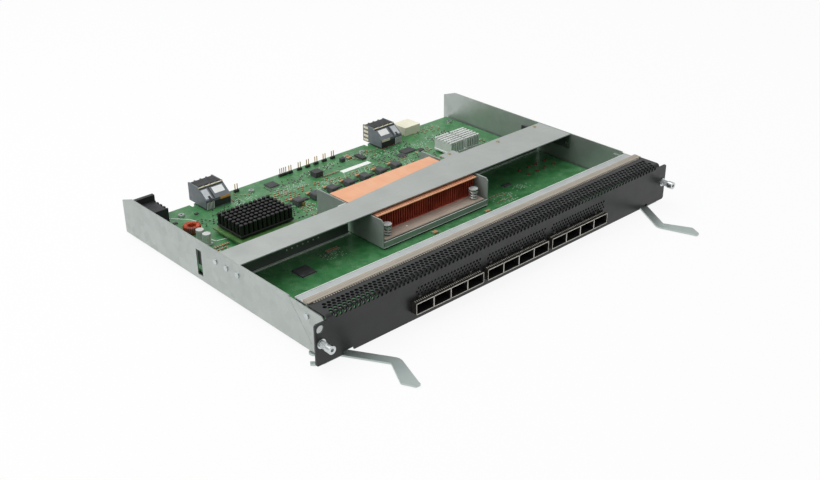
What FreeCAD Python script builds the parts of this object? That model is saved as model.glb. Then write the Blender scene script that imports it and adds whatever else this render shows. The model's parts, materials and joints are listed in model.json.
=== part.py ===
# A switch line card: a sheet-steel tray that slides into a chassis, with a
# folded front panel, ejector levers and captive screws, and a board that
# carries heat sinks, power parts, port cages and rear connectors.
#
# X runs along the panel, Y from the panel to the rear, Z up. The origin is in
# the middle of the tray's underside. The panel's front face is the datum for
# depths, and the lower edge of the tray's sides is the datum for heights.

import FreeCAD, Part
import Sketcher
import math
import os
import re
from FreeCAD import Placement, Rotation, Vector

doc = FreeCAD.newDocument("switch_line_card")

# Driving dimensions in millimetres: alias, value, meaning
SIZES = [
    # whole card
    ("ear_span", 440.0, "front panel from ear tip to ear tip"),
    ("tray_width", 419.2, "tray over its two sides"),
    ("side_height", 39.7, "height of the tray's sides"),
    ("side_rear", 302.3, "panel face to the rear end of the sides"),
    ("face_to_origin", 150.0, "panel face to the origin"),
    ("sheet", 1.2, "galvanised sheet"),
    ("bend_radius", 1.0, "outer radius of the tray's lower bends"),
    # tray
    ("floor_drop", 2.7, "the drawn floor lies this far below the sides"),
    ("floor_inset", 9.0, "tray side to the drawn floor"),
    ("drawn_front", 46.0, "panel face to the front of the drawn floor"),
    ("drawn_rear", 286.0, "panel face to the rear of the drawn floor"),
    ("floor_rear", 296.0, "panel face to the rear edge of the tray floor"),
    ("rear_cut_run", 16.9, "length of the slope at the rear top corner"),
    ("rear_cut_fall", 6.0, "height of the slope at the rear top corner"),
    ("slot_front", 170.5, "panel face to the window in each side"),
    ("slot_wide", 8.0, "width of the window"),
    ("slot_low", 5.0, "height of the window's lower end"),
    ("slot_tall", 25.0, "height of the window"),
    # front brackets, joined to the sides along a slanting seam
    ("seam_low", 11.3, "panel face to the seam at its lower end"),
    ("seam_high", 44.9, "panel face to the seam at the bracket's top"),
    ("seam_gap", 0.3, "gap along the seam"),
    ("bracket_height", 38.5, "height of the front brackets"),
    ("bracket_round", 5.0, "rounded front corner of the brackets"),
    ("bracket_flange", 13.0, "bracket flange behind the panel"),
    ("tongue_front", 8.0, "panel face to the joggled tongue of the side"),
    ("tongue_rear", 56.0, "panel face to the rear of the tongue"),
    ("tongue_low", 5.0, "height of the tongue's lower edge"),
    ("tongue_high", 35.0, "height of the tongue's upper edge"),
    ("bracket_screw_depth", 23.0, "panel face to the bracket screw"),
    ("bracket_screw_height", 31.0, "height of the bracket screw"),
    # front panel
    ("panel_sheet", 1.5, "thickness of the front panel"),
    ("panel_low", 0.0, "panel's lower edge above the sides' lower edge"),
    ("ear_top", 37.0, "height of the ears"),
    ("panel_top", 40.9, "height of the panel's folded top"),
    ("panel_fold", 24.0, "depth of the panel's folded top"),
    ("fold_radius", 3.4, "outer radius of the fold"),
    ("ear_round", 2.2, "rounded corners of the ears"),
    ("panel_half_inset", 1.4, "tray side to the end of the folded top"),
    ("ear_inset", 5.2, "ear tip to the captive screws and the ear hole"),
    ("ear_hole_height", 31.5, "height of the ear hole"),
    ("notch_inward", 19.4, "lever pivot inward to the end of the panel's lower notch"),
    ("notch_span", 10.8, "width of that notch"),
    ("notch_tall", 2.8, "height of that notch"),
    ("ear_hole_radius", 3.5, "radius of the ear hole"),
    # gasket and its carrier behind the panel's folded top
    ("carrier_gap", 0.4, "gap behind the folded top"),
    ("carrier_rear", 40.6, "panel face to the rear of the carrier"),
    ("carrier_web", 11.0, "height of the carrier's webs"),
    ("gasket_deep", 6.8, "depth of the foam gasket"),
    ("gasket_tall", 2.4, "height of the foam gasket"),
    ("gasket_inset", 2.0, "tray side to the end of the foam gasket"),
    # cross beam
    ("beam_front", 112.4, "panel face to the beam's front edge"),
    ("beam_rear_left", 143.3, "panel face to the beam's rear edge on the left"),
    ("beam_rear_right", 156.4, "the same on the right"),
    ("beam_taper_left", -70.0, "where the rear edge starts to slant"),
    ("beam_taper_right", 67.0, "where the rear edge stops slanting"),
    ("beam_tab_left", 68.5, "left edge of the rear tab"),
    ("beam_tab_right", 88.0, "right edge of the rear tab"),
    ("beam_tab_rear", 165.5, "panel face to the end of the rear tab"),
    ("beam_end_gap", 0.2, "gap at each end of the beam"),
    ("beam_web_gap", 1.4, "gap between the beam's webs and the board"),
    ("beam_web_inset", 3.6, "tray side to the outer end of the webs"),
    ("beam_end_deep", 40.0, "depth of the beam's end flanges"),
    ("beam_end_tall", 15.0, "height of the beam's end flanges"),
    ("beam_screw_first", 116.0, "panel face to the first side screw"),
    ("beam_screw_pitch", 16.2, "pitch of the side screws"),
    ("beam_screw_height", 29.0, "height of the side screws"),
    ("screw_head_radius", 2.7, "head of the side and bracket screws"),
    ("screw_head_tall", 0.9, "height of those heads"),
    ("screw_shank_radius", 1.4, "shank of those screws"),
    ("screw_length", 4.0, "length of those shanks"),
    ("screw_clearance", 0.15, "radial clearance of a screw in its hole"),
    ("rivet_radius", 1.9, "heads of the blind rivets on the beam"),
    ("rivet_tall", 0.5, "height of those heads"),
    # board
    ("board_rise", 8.2, "board top above the sides' lower edge"),
    ("board_thick", 2.4, "thickness of the board"),
    ("board_inset", 3.2, "tray side to the board's edge"),
    ("board_front", 3.4, "panel face to the board's front edge"),
    ("board_rear", 297.0, "panel face to the board's rear edge"),
    ("notch_wide", 5.0, "width of the two rear notches"),
    ("notch_deep", 5.0, "depth of the two rear notches"),
    ("notch_left", -143.0, "left edge of the left notch"),
    ("notch_right", 81.2, "left edge of the right notch"),
    ("layout_count_x", 206.4, "number of layout steps from the board's middle to its side"),
    ("layout_count_y", 297.0, "number of layout steps from the panel face to the board's rear"),
    ("board_screw_depth", 281.0, "panel face to the rear row of board screws"),
    ("board_screw_front", 60.0, "panel face to the front row of board screws"),
    ("board_screw_head", 3.1, "radius of the board screws' heads"),
    ("board_screw_tall", 2.0, "height of those heads"),
    ("board_screw_shank", 1.5, "radius of their shanks"),
    ("standoff_radius", 3.2, "radius of the standoffs"),
    # copper heat sink
    ("sink_front", 97.3, "panel face to the base plate's front edge"),
    ("sink_rear", 190.0, "panel face to the base plate's rear edge"),
    ("sink_side_gap", 3.8, "shroud's side to the base plate"),
    ("sink_thick", 6.3, "thickness of the base plate"),
    ("chip_tall", 2.5, "height of the switch chip above the board"),
    ("chip_half", 25.0, "half the width of the switch chip"),
    ("chip_depth", 144.0, "panel face to the middle of the switch chip"),
    ("fin_front", 112.0, "panel face to the front of the fins"),
    ("fin_rear", 175.7, "panel face to the rear of the fins"),
    ("fin_foil", 0.5, "thickness of a copper fin"),
    ("fin_foot", 0.6, "thickness of the foil the fins stand on"),
    ("fin_side_gap", 1.0, "base plate's side to the outer fins"),
    ("fin_count", 44.0, "number of copper fins"),
    ("lid_high", 36.6, "height of the lid's top face"),
    ("lid_thick", 1.4, "thickness of the lid"),
    ("lid_side_gap", 3.4, "shroud's side to the lid"),
    ("shroud_half", 67.4, "half the width of the shroud"),
    ("shroud_front", 96.0, "panel face to the shroud's front lip"),
    ("shroud_rear", 191.3, "panel face to the shroud's rear lip"),
    ("shroud_high", 37.6, "height of the shroud's walls"),
    ("shroud_lip", 15.5, "height of the shroud's lips"),
    ("shroud_window", 28.0, "half the width of the window for the chip"),
    ("shroud_corner", 2.5, "cut corner of the shroud's walls"),
    ("spring_screw_side", 8.1, "base plate's side to the spring screws"),
    ("spring_screw_inset", 7.2, "edge of the base plate to those screws"),
    ("spring_screw_high", 28.0, "height of the spring screws' heads"),
    ("spring_screw_head", 4.6, "radius of those heads"),
    ("spring_screw_cap", 2.6, "height of those heads"),
    ("spring_screw_shank", 1.6, "radius of their shanks"),
    ("spring_outer", 4.1, "outer radius of their springs"),
    ("spring_inner", 3.0, "inner radius of their springs"),
    ("spacer_radius", 3.6, "radius of the spacers under the shroud"),
    # port cages: three ganged groups of four ports
    ("port_pitch", 19.5, "pitch of the ports"),
    ("group_pitch", 83.0, "pitch of the groups"),
    ("cage_tall", 10.0, "height of the cages"),
    ("cage_wall", 0.6, "wall of the cages"),
    ("cage_out", 6.0, "cages stand out of the panel"),
    ("cage_rear", 46.0, "panel face to the rear of the cages"),
    ("cage_gap", 0.4, "gap round a cage in the panel"),
    ("port_block", 12.0, "depth of the connector at the end of a port"),
    ("port_block_side", 1.2, "gap beside that connector"),
    ("light_height", 19.7, "height of the status lights"),
    ("light_tall", 1.6, "height of a status light bar"),
    ("light_long", 2.6, "length of a status light"),
    ("light_deep", 5.0, "depth of a status light bar"),
    ("light_gap", 0.1, "gap round a status light bar"),
    # ejector levers, which swing under the tray
    ("pivot_inset", 7.6, "tray side to the lever pivots"),
    ("pivot_depth", 17.0, "panel face to the lever pivots"),
    ("lever_low", 0.8, "levers above the surface that the card rests on"),
    ("lever_thick", 1.6, "thickness of the levers"),
    ("arm_wide", 8.6, "width of a lever's arm"),
    ("arm_angle", 31.0, "arm to the card's depth, levers open"),
    ("arm_offset", 2.3, "pivot to the arm's middle line across the card"),
    ("bend_ahead", 50.6, "pivot to the bend along the card"),
    ("bend_round", 9.0, "rounding of the bend's outer corner"),
    ("grip_angle", 19.4, "inner edge of the grip to the card's depth"),
    ("grip_flare", 26.7, "outer edge of the grip to the card's depth"),
    ("grip_shoulder", 75.2, "pivot to the end of the grip's outer edge"),
    ("grip_tip", 86.8, "pivot to the tip of the grip"),
    ("tip_wide", 4.7, "width of the grip's blunt tip"),
    ("tip_round", 1.6, "rounded corners of the tip"),
    ("claw_front", 15.3, "pivot forward to the claw's front edge"),
    ("claw_reach", 18.5, "pivot outward to the claw's front prong"),
    ("claw_wide", 4.6, "width of the claw's front prong"),
    ("mouth_reach", 6.9, "pivot outward to the bottom of the claw's mouth"),
    ("hook_reach", 9.5, "pivot outward to the claw's rear prong"),
    ("hook_wide", 4.8, "width of the claw's rear prong"),
    ("lever_back", 7.0, "pivot back to the lever's rear edge"),
    ("pivot_radius", 2.5, "radius of the lever rivets"),
    ("pivot_clearance", 0.05, "radial clearance of a lever on its rivet"),
    ("pivot_head", 4.2, "radius of the lever rivets' heads"),
    ("pivot_head_tall", 0.5, "height of those heads"),
    ("pivot_head_gap", 0.05, "gap between those heads and the levers"),
    # captive screws
    ("captive_height", 19.5, "height of the captive screws"),
    ("bush_flange", 4.2, "radius of the bush's flange"),
    ("bush_flange_tall", 1.2, "thickness of that flange"),
    ("bush_radius", 3.1, "radius of the bush in the ear"),
    ("bush_tail", 1.2, "bush behind the ear"),
    ("captive_shank", 1.75, "radius of the captive screws' shanks"),
    ("captive_bore_gap", 0.1, "radial clearance of a shank in its bush"),
    ("captive_out", 13.6, "heads of the captive screws before the panel"),
    ("captive_head", 3.6, "radius of those heads"),
    ("captive_head_long", 5.2, "length of those heads"),
    ("captive_tip", 5.6, "tips of the captive screws behind the panel face"),
    ("captive_recess", 1.6, "radius of the recess in a head"),
    ("captive_recess_deep", 2.4, "depth of the recess in a head"),
    ("captive_spring_outer", 3.0, "outer radius of the captive springs"),
    ("captive_spring_inner", 2.2, "inner radius of the captive springs"),
    ("captive_end_gap", 0.1, "gap at each end of a captive spring"),
    ("clip_radius", 2.9, "radius of the retaining rings"),
    ("clip_thick", 0.8, "thickness of the retaining rings"),
    ("clip_groove", 1.4, "radius of the grooves for those rings"),
    ("clip_gap", 0.05, "gap round a ring in its groove"),
    # rear connectors
    ("left_connector_wide", 28.2, "width of the left connector"),
    ("right_connector_wide", 29.5, "width of the right connector"),
    ("connector_front", 274.0, "panel face to the connectors' front"),
    ("connector_slope_rear", 286.5, "panel face to the top of their slope"),
    ("connector_rear", 304.5, "panel face to their rear face"),
    ("connector_base", 1.8, "height of the contact bases below them"),
    ("connector_shoulder", 18.5, "height of their upright front"),
    ("connector_high", 28.5, "height of their top"),
    ("connector_rib", 1.0, "height of the ribs on their top"),
    ("connector_rib_wide", 1.6, "width of those ribs"),
    ("connector_ribs", 5.0, "number of those ribs"),
    ("connector_columns", 8.0, "columns of contacts in a connector"),
    ("connector_slot", 1.6, "width of a contact slot in the rear face"),
    ("connector_slot_deep", 8.0, "depth of those slots"),
    # guide block
    ("guide_wide", 22.5, "width of the guide block"),
    ("guide_front", 284.0, "panel face to the front of the guide block"),
    ("guide_rear", 304.3, "panel face to its rear"),
    ("guide_tall", 9.6, "height of the guide block"),
    ("guide_step", 1.0, "step under its overhang"),
    ("guide_hole", 2.6, "radius of its hole"),
    ("guide_hole_deep", 14.0, "depth of its hole"),
    # power connector
    ("power_inset", 12.1, "tray side to the power connector"),
    ("power_wide", 20.5, "width of the power connector"),
    ("power_front", 277.5, "panel face to its front"),
    ("power_flange", 301.0, "panel face to its flange"),
    ("power_rear", 305.0, "panel face to its rear"),
    ("power_tall", 14.8, "height of its body"),
    ("power_flange_high", 29.0, "height of its flange's top"),
    ("power_slots", 4.0, "number of slots in its side"),
    ("power_slot_deep", 2.5, "depth of those slots"),
    ("power_slot_low", 4.0, "height of the lower end of those slots"),
    ("power_mouth_edge", 2.5, "wall round its rear mouth"),
    ("power_mouth_deep", 7.0, "depth of its rear mouth"),
    # converter with a pin-fin heat sink
    ("brick_wide", 66.5, "width of the converter's board"),
    ("brick_front", 178.0, "panel face to its front edge"),
    ("brick_deep", 54.0, "depth of the converter's board"),
    ("brick_rise", 3.0, "converter's board above the card's board"),
    ("brick_thick", 1.6, "thickness of the converter's board"),
    ("brick_pin", 0.9, "radius of the converter's pins"),
    ("brick_pin_side", 3.0, "side of the converter's board to its pins"),
    ("brick_pin_end", 5.0, "end of the converter's board to its pins"),
    ("core_inset", 3.0, "edge of the pin-fin sink to the core"),
    ("core_tall", 1.2, "height of the core"),
    ("pin_sink_wide", 59.6, "width of the pin-fin sink"),
    ("pin_sink_front", 191.7, "panel face to its front edge"),
    ("pin_sink_deep", 39.6, "depth of the pin-fin sink"),
    ("pin_sink_base", 2.5, "thickness of its base"),
    ("pin_sink_high", 27.0, "height of the tips of its pins"),
    ("pin_sink_edge", 2.3, "edge of its base to the outer pins"),
    ("pin_fin", 2.0, "radius of its pins"),
    ("pin_columns", 12.0, "columns of pins"),
    ("pin_rows", 7.0, "rows of pins"),
    # silver heat sink
    ("silver_wide", 43.0, "width of the silver heat sink"),
    ("silver_front", 206.0, "panel face to its front"),
    ("silver_deep", 26.0, "depth of the silver heat sink"),
    ("silver_high", 24.0, "height of its fins' tips"),
    ("silver_base", 2.2, "thickness of its base"),
    ("silver_fin", 1.0, "thickness of its fins"),
    ("silver_fins", 12.0, "number of its fins"),
    ("silver_split", 1.6, "width of the split across its fins"),
    ("silver_chip_tall", 1.8, "height of the chip under it"),
    ("silver_chip_inset", 4.0, "edge of the sink to that chip"),
    # toroid, cans, coils and headers
    ("toroid_depth", 246.0, "panel face to the toroid's middle"),
    ("toroid_outer", 8.8, "outer radius of the winding"),
    ("toroid_hole", 4.4, "inner radius of the winding"),
    ("toroid_tall", 7.5, "height of the winding"),
    ("toroid_wire", 0.9, "thickness of the winding"),
    ("toroid_gap", 3.0, "gap between the ends of the winding"),
    ("can_radius", 4.0, "half the width of a round capacitor's foot"),
    ("can_foot", 1.4, "height of that foot"),
    ("can_tall", 9.6, "height of the can above its foot"),
    ("coil_pitch", 21.3, "pitch of the coils"),
    ("coil_count", 7.0, "number of coils"),
    ("coil_wide", 8.8, "width of a coil"),
    ("coil_front", 219.0, "panel face to the coils' front"),
    ("coil_deep", 11.0, "depth of a coil"),
    ("coil_tall", 6.8, "height of a coil"),
    ("phase_behind", 17.0, "coil's front to the capacitor behind it"),
    ("phase_wide", 7.0, "width of that capacitor"),
    ("phase_deep", 3.6, "depth of that capacitor"),
    ("phase_tall", 2.6, "height of that capacitor"),
    ("stage_gap", 1.5, "gap between a coil and its power stage"),
    ("stage_wide", 5.0, "width of a power stage"),
    ("stage_tall", 1.2, "height of a power stage"),
    ("header_deep", 2.5, "depth of a pin header"),
    ("header_tall", 2.5, "height of a pin header's body"),
    ("header_pin", 0.7, "width of a header's pin"),
    ("header_reach", 6.5, "header pins above the body"),
]

# Places and sizes that follow from the driving dimensions
PLACES = [
    ("front", "-face_to_origin"),
    ("tray_half", "tray_width / 2"),
    ("tray_inner", "tray_half - sheet"),
    ("side_low", "floor_drop"),
    ("side_top", "floor_drop + side_height"),
    ("board_top", "floor_drop + board_rise"),
    ("board_low", "board_top - board_thick"),
    ("board_half", "tray_half - board_inset"),
    ("step_x", "board_half / layout_count_x"),
    ("step_y", "board_rear / layout_count_y"),
    ("ear_line", "ear_span / 2 - ear_inset"),
    ("pivot_x", "tray_half - pivot_inset"),
    ("panel_bottom", "floor_drop + panel_low"),
    ("panel_half", "tray_half - panel_half_inset"),
    ("carrier_front", "panel_fold + carrier_gap"),
    ("beam_half", "tray_inner - beam_end_gap"),
    ("beam_low_face", "side_top - sheet"),
    ("sink_low", "board_top + chip_tall"),
    ("sink_high", "sink_low + sink_thick"),
    ("shroud_floor", "sink_low - sheet"),
    ("sink_half", "shroud_half - sink_side_gap"),
    ("lid_half", "shroud_half - lid_side_gap"),
    ("fin_pitch", "(2 * (sink_half - fin_side_gap) - fin_foil) / (fin_count - 1)"),
    ("spring_screw_x", "sink_half - spring_screw_side"),
    ("lid_low", "floor_drop + lid_high - lid_thick"),
    ("cage_half", "port_pitch * 2"),
    ("cage_top", "board_top + cage_tall"),
    ("light_low", "floor_drop + light_height - light_tall / 2"),
    ("lever_top", "lever_low + lever_thick"),
    ("captive_z", "floor_drop + captive_height"),
    ("clip_front", "panel_sheet + bush_tail"),
    ("power_left", "power_inset - tray_half"),
    ("left_connector", "-137.9 * step_x"),
    ("right_connector", "86.4 * step_x"),
    ("guide_left", "130.5 * step_x"),
    ("brick_left", "-158.5 * step_x"),
    ("pin_sink_left", "-154.3 * step_x"),
    ("silver_left", "125.5 * step_x"),
    ("toroid_x", "-172.0 * step_x"),
    ("coil_first", "-69.0 * step_x"),
]

sheet_of_sizes = doc.addObject("Spreadsheet::Sheet", "Sizes")
for row, (alias, value, meaning) in enumerate(SIZES, start=1):
    sheet_of_sizes.set("A%d" % row, alias)
    sheet_of_sizes.set("B%d" % row, str(value))
    sheet_of_sizes.set("C%d" % row, meaning)
    sheet_of_sizes.setAlias("B%d" % row, alias)
doc.recompute()

SIZE_WORDS = {alias for alias, value, meaning in SIZES}
PLACE_WORDS = {name for name, rule in PLACES}


def bound(rule):
    """Write a rule out as an expression that the document understands."""
    def spell(match):
        word = match.group(0)
        if word in SIZE_WORDS:
            return "Sizes." + word
        if word in PLACE_WORDS:
            return "Places." + word
        return word
    return re.sub(r"[a-z][a-z_0-9]*", spell, str(rule))


places = doc.addObject("App::VarSet", "Places")
for name, rule in PLACES:
    places.addProperty("App::PropertyFloat", name, "Places")
    places.setExpression(name, bound(rule))
doc.recompute()


class Values:
    """The same sizes and places as plain numbers."""


now = Values()
for alias in SIZE_WORDS:
    setattr(now, alias, float(sheet_of_sizes.get(alias)))
for name in PLACE_WORDS:
    setattr(now, name, float(getattr(places, name)))

NODES = []


def node(label, piece):
    """Name a piece as one of the card's sub-parts."""
    piece.Label = label
    NODES.append(piece)
    return piece


def fresh(kind, name):
    return doc.addObject(kind, name)


def put(piece, x, y, z):
    """Bind the place of a piece's own origin."""
    for letter, rule in (("x", x), ("y", y), ("z", z)):
        piece.setExpression("Placement.Base." + letter, bound(rule))
    return piece


def block(name, low, high):
    """A box between two corners, each given as three rules."""
    piece = fresh("Part::Box", name)
    for size, a, b in zip(("Length", "Width", "Height"), low, high):
        piece.setExpression(size, bound("(%s) - (%s)" % (b, a)))
    return put(piece, *low)


TURNS = {
    "x": Rotation(Vector(0, 1, 0), 90),
    "y": Rotation(Vector(1, 0, 0), -90),
    "z": Rotation(),
}


def rod(name, radius, length, start, axis="z"):
    """A cylinder from a start point along +X, +Y or +Z."""
    piece = fresh("Part::Cylinder", name)
    piece.setExpression("Radius", bound(radius))
    piece.setExpression("Height", bound(length))
    piece.Placement = Placement(Vector(), TURNS[axis])
    return put(piece, *start)


# Sides of the small round things, which have flats in place of a circle
HOLE_SIDES = 8
HEAD_SIDES = 10
RING_SIDES = 16


def prism(name, sides, radius, length, start, axis="z"):
    """A regular prism from a start point along +X, +Y or +Z."""
    piece = fresh("Part::Prism", name)
    piece.Polygon = sides
    piece.setExpression("Circumradius", bound(radius))
    piece.setExpression("Height", bound(length))
    piece.Placement = Placement(Vector(), TURNS[axis])
    return put(piece, *start)


def join(name, pieces):
    piece = fresh("Part::MultiFuse", name)
    piece.Shapes = pieces
    piece.Refine = True
    return piece


def cut(name, base, tools):
    tool = tools[0] if len(tools) == 1 else join(name + "_tools", tools)
    piece = fresh("Part::Cut", name)
    piece.Base = base
    piece.Tool = tool
    piece.Refine = True
    return piece


def group(name, pieces):
    """Like pieces that share one sub-part, each its own solid."""
    piece = fresh("Part::Compound", name)
    piece.Links = pieces
    return piece


def plane_of(body, role):
    return [item for item in body.Origin.OriginFeatures if item.Role == role][0]


def profile(name, role, corners, thick, start):
    """A padded outline. Its corners are pairs of rules in the body's own
    plane, and every corner of the sketch is dimensioned from the origin."""
    body = fresh("PartDesign::Body", name)
    sketch = body.newObject("Sketcher::SketchObject", name + "_outline")
    sketch.AttachmentSupport = [(plane_of(body, role), "")]
    sketch.MapMode = "FlatFace"
    scratch = fresh("App::VarSet", name + "_corners")
    for index, (u, v) in enumerate(corners):
        for letter, rule in (("u", u), ("v", v)):
            scratch.addProperty("App::PropertyFloat", "%s%d" % (letter, index), "Corners")
            scratch.setExpression("%s%d" % (letter, index), bound(rule))
    scratch.recompute()
    points = [Vector(getattr(scratch, "u%d" % i), getattr(scratch, "v%d" % i), 0)
              for i in range(len(corners))]
    for index, point in enumerate(points):
        after = points[(index + 1) % len(points)]
        sketch.addGeometry(Part.LineSegment(point, after), False)
    for index in range(len(points)):
        after = (index + 1) % len(points)
        sketch.addConstraint(Sketcher.Constraint("Coincident", index, 2, after, 1))
    for index, point in enumerate(points):
        for kind, letter, value in (("DistanceX", "u", point.x), ("DistanceY", "v", point.y)):
            number = sketch.addConstraint(Sketcher.Constraint(kind, -1, 1, index, 1, value))
            sketch.setExpression("Constraints[%d]" % number,
                                 "%s.%s%d" % (scratch.Name, letter, index))
    pad = body.newObject("PartDesign::Pad", name + "_pad")
    pad.Profile = sketch
    pad.setExpression("Length", bound(thick))
    sketch.Visibility = False
    put(body, *start)
    doc.recompute()
    return body


def edges_where(shape, test):
    """Names of a shape's edges whose two ends both pass a test."""
    names = []
    for index, edge in enumerate(shape.Edges, start=1):
        ends = [vertex.Point for vertex in edge.Vertexes]
        if len(ends) == 2 and test(*ends):
            names.append("Edge%d" % index)
    return names


def round_edges(body, name, radius, test):
    """Round the body's edges that pass a test in the body's own axes."""
    base = body.Tip
    feature = body.newObject("PartDesign::Fillet", name)
    feature.Base = (base, edges_where(base.Shape, test))
    feature.setExpression("Radius", bound(radius))
    doc.recompute()
    return feature


def near(a, b):
    return abs(a - b) < 0.001


def behind(rule):
    """A place given by its distance behind the panel's front face."""
    return "front + (%s)" % rule


def above(rule):
    """A place given by its height above the lower edge of the sides."""
    return "floor_drop + (%s)" % rule


SIDES = (("left", -1), ("right", 1))


def chassis_tray():
    """The folded tray: a floor with a drawn middle, and two sides."""
    outline = [("seam_low + seam_gap", "0"),
               ("side_rear", "0"),
               ("side_rear", "side_height - rear_cut_fall"),
               ("side_rear - rear_cut_run", "side_height"),
               ("seam_high + seam_gap + (side_height - bracket_height) * 0.87", "side_height")]
    pieces = []
    openings = []
    for side, sign in SIDES:
        outer = "-tray_half" if sign < 0 else "tray_inner"
        pieces.append(profile("tray_%s_side" % side, "YZ_Plane", outline, "sheet",
                              (outer, "front", "floor_drop")))
        inner = "-tray_inner" if sign < 0 else "tray_inner - sheet"
        pieces.append(block("tray_%s_tongue" % side,
                            (inner, behind("tongue_front"), above("tongue_low")),
                            (inner + " + sheet", behind("tongue_rear"), above("tongue_high"))))
        openings.append(block("tray_%s_window" % side,
                              ("%d * tray_half - 5" % sign, behind("slot_front"),
                               above("slot_low")),
                              ("%d * tray_half + 5" % sign, behind("slot_front + slot_wide"),
                               above("slot_low + slot_tall"))))
        openings.append(rod("tray_%s_pivot_hole" % side, "pivot_radius", "4 * sheet",
                            ("%d * pivot_x" % sign, behind("pivot_depth"),
                             "floor_drop - sheet")))
        openings.extend(side_screw_holes("tray_" + side, sign))
    pieces.append(block("tray_floor",
                        ("-tray_inner", behind("panel_sheet + sheet + seam_gap"), "floor_drop"),
                        ("tray_inner", behind("floor_rear"), "floor_drop + sheet")))
    drawn = "tray_half - floor_inset"
    pieces.append(block("tray_drawn_floor",
                        ("-(%s)" % drawn, behind("drawn_front"), "0"),
                        (drawn, behind("drawn_rear"), "floor_drop + sheet")))
    openings.append(block("tray_drawn_hollow",
                          ("-(%s - sheet)" % drawn, behind("drawn_front + sheet"), "sheet"),
                          (drawn + " - sheet", behind("drawn_rear - sheet"),
                           "floor_drop + 2 * sheet")))
    whole = cut("tray_cut", join("tray_joined", pieces), openings)
    doc.recompute()
    bend = fresh("Part::Fillet", "tray_bends")
    bend.Base = whole
    low = now.floor_drop
    edges = [index for index, edge in enumerate(whole.Shape.Edges, start=1)
             if edge.Length > 200 and all(near(abs(v.X), now.tray_half) and near(v.Z, low)
                                          for v in edge.Vertexes)]
    bend.Edges = [(index, now.bend_radius, now.bend_radius) for index in edges]
    return node("chassis_tray", bend)


def side_screw_holes(name, sign):
    """Clearance holes for the three beam screws and the bracket screw."""
    start = "-tray_half - sheet" if sign < 0 else "tray_half - 3 * sheet"
    radius = "screw_shank_radius + screw_clearance"
    spots = [("beam_screw_first + %d * beam_screw_pitch" % number, "beam_screw_height")
             for number in range(3)]
    spots.append(("bracket_screw_depth", "bracket_screw_height"))
    return [prism("%s_screw_hole_%d" % (name, number), HOLE_SIDES, radius, "4 * sheet",
                (start, behind(depth), above(height)), "x")
            for number, (depth, height) in enumerate(spots)]


def front_bracket(side, sign):
    """A side plate before the slanting seam, with a flange behind the panel."""
    slope = "(seam_high - seam_low) / bracket_height"
    outline = [("panel_sheet", "0"), ("seam_low", "0"),
               ("seam_low + %s * bracket_height" % slope, "bracket_height"),
               ("panel_sheet", "bracket_height")]
    start = "-tray_half" if sign < 0 else "tray_inner"
    plate = profile(side + "_bracket_plate", "YZ_Plane", outline, "sheet",
                    (start, "front", "floor_drop"))
    round_edges(plate, side + "_bracket_corner", "bracket_round",
                lambda a, b: near(a.y, b.y) and near(a.z, b.z) and a.y < 2
                and near(a.z, now.bracket_height))
    low = "-tray_half" if sign < 0 else "tray_half - bracket_flange"
    flange = block(side + "_bracket_flange",
                   (low, behind("panel_sheet"), above("panel_low + lever_thick")),
                   (low + " + bracket_flange", behind("panel_sheet + sheet"),
                    above("bracket_height - bracket_round")))
    whole = join(side + "_bracket_joined", [plate, flange])
    holes = [hole for hole in side_screw_holes(side + "_bracket", sign)][3:]
    return node(side + "_front_bracket", cut(side + "_bracket", whole, holes))


def side_screw(name, sign, depth, height):
    """A pan-head screw from outside through a side: head and shank."""
    head_start = "-tray_half - screw_head_tall" if sign < 0 else "tray_half"
    shank_start = "-tray_half" if sign < 0 else "tray_half - screw_length"
    head = prism(name + "_head", HEAD_SIDES, "screw_head_radius", "screw_head_tall",
               (head_start, behind(depth), above(height)), "x")
    shank = prism(name + "_shank", HOLE_SIDES, "screw_shank_radius", "screw_length",
                (shank_start, behind(depth), above(height)), "x")
    return join(name, [head, shank])


def beam_screws():
    pieces = []
    for side, sign in SIDES:
        for number in range(3):
            pieces.append(side_screw("beam_screw_%s_%d" % (side, number), sign,
                                     "beam_screw_first + %d * beam_screw_pitch" % number,
                                     "beam_screw_height"))
    return node("beam_screws", group("beam_screw_set", pieces))


def bracket_screws():
    pieces = [side_screw("bracket_screw_" + side, sign,
                         "bracket_screw_depth", "bracket_screw_height")
              for side, sign in SIDES]
    return node("bracket_screws", group("bracket_screw_set", pieces))


def group_middle(number):
    """The middle of a group of ports along the panel."""
    return "%d * group_pitch" % (number - 1)


def port_middle(number, port):
    return "%s + %s * port_pitch" % (group_middle(number), port - 1.5)


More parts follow.
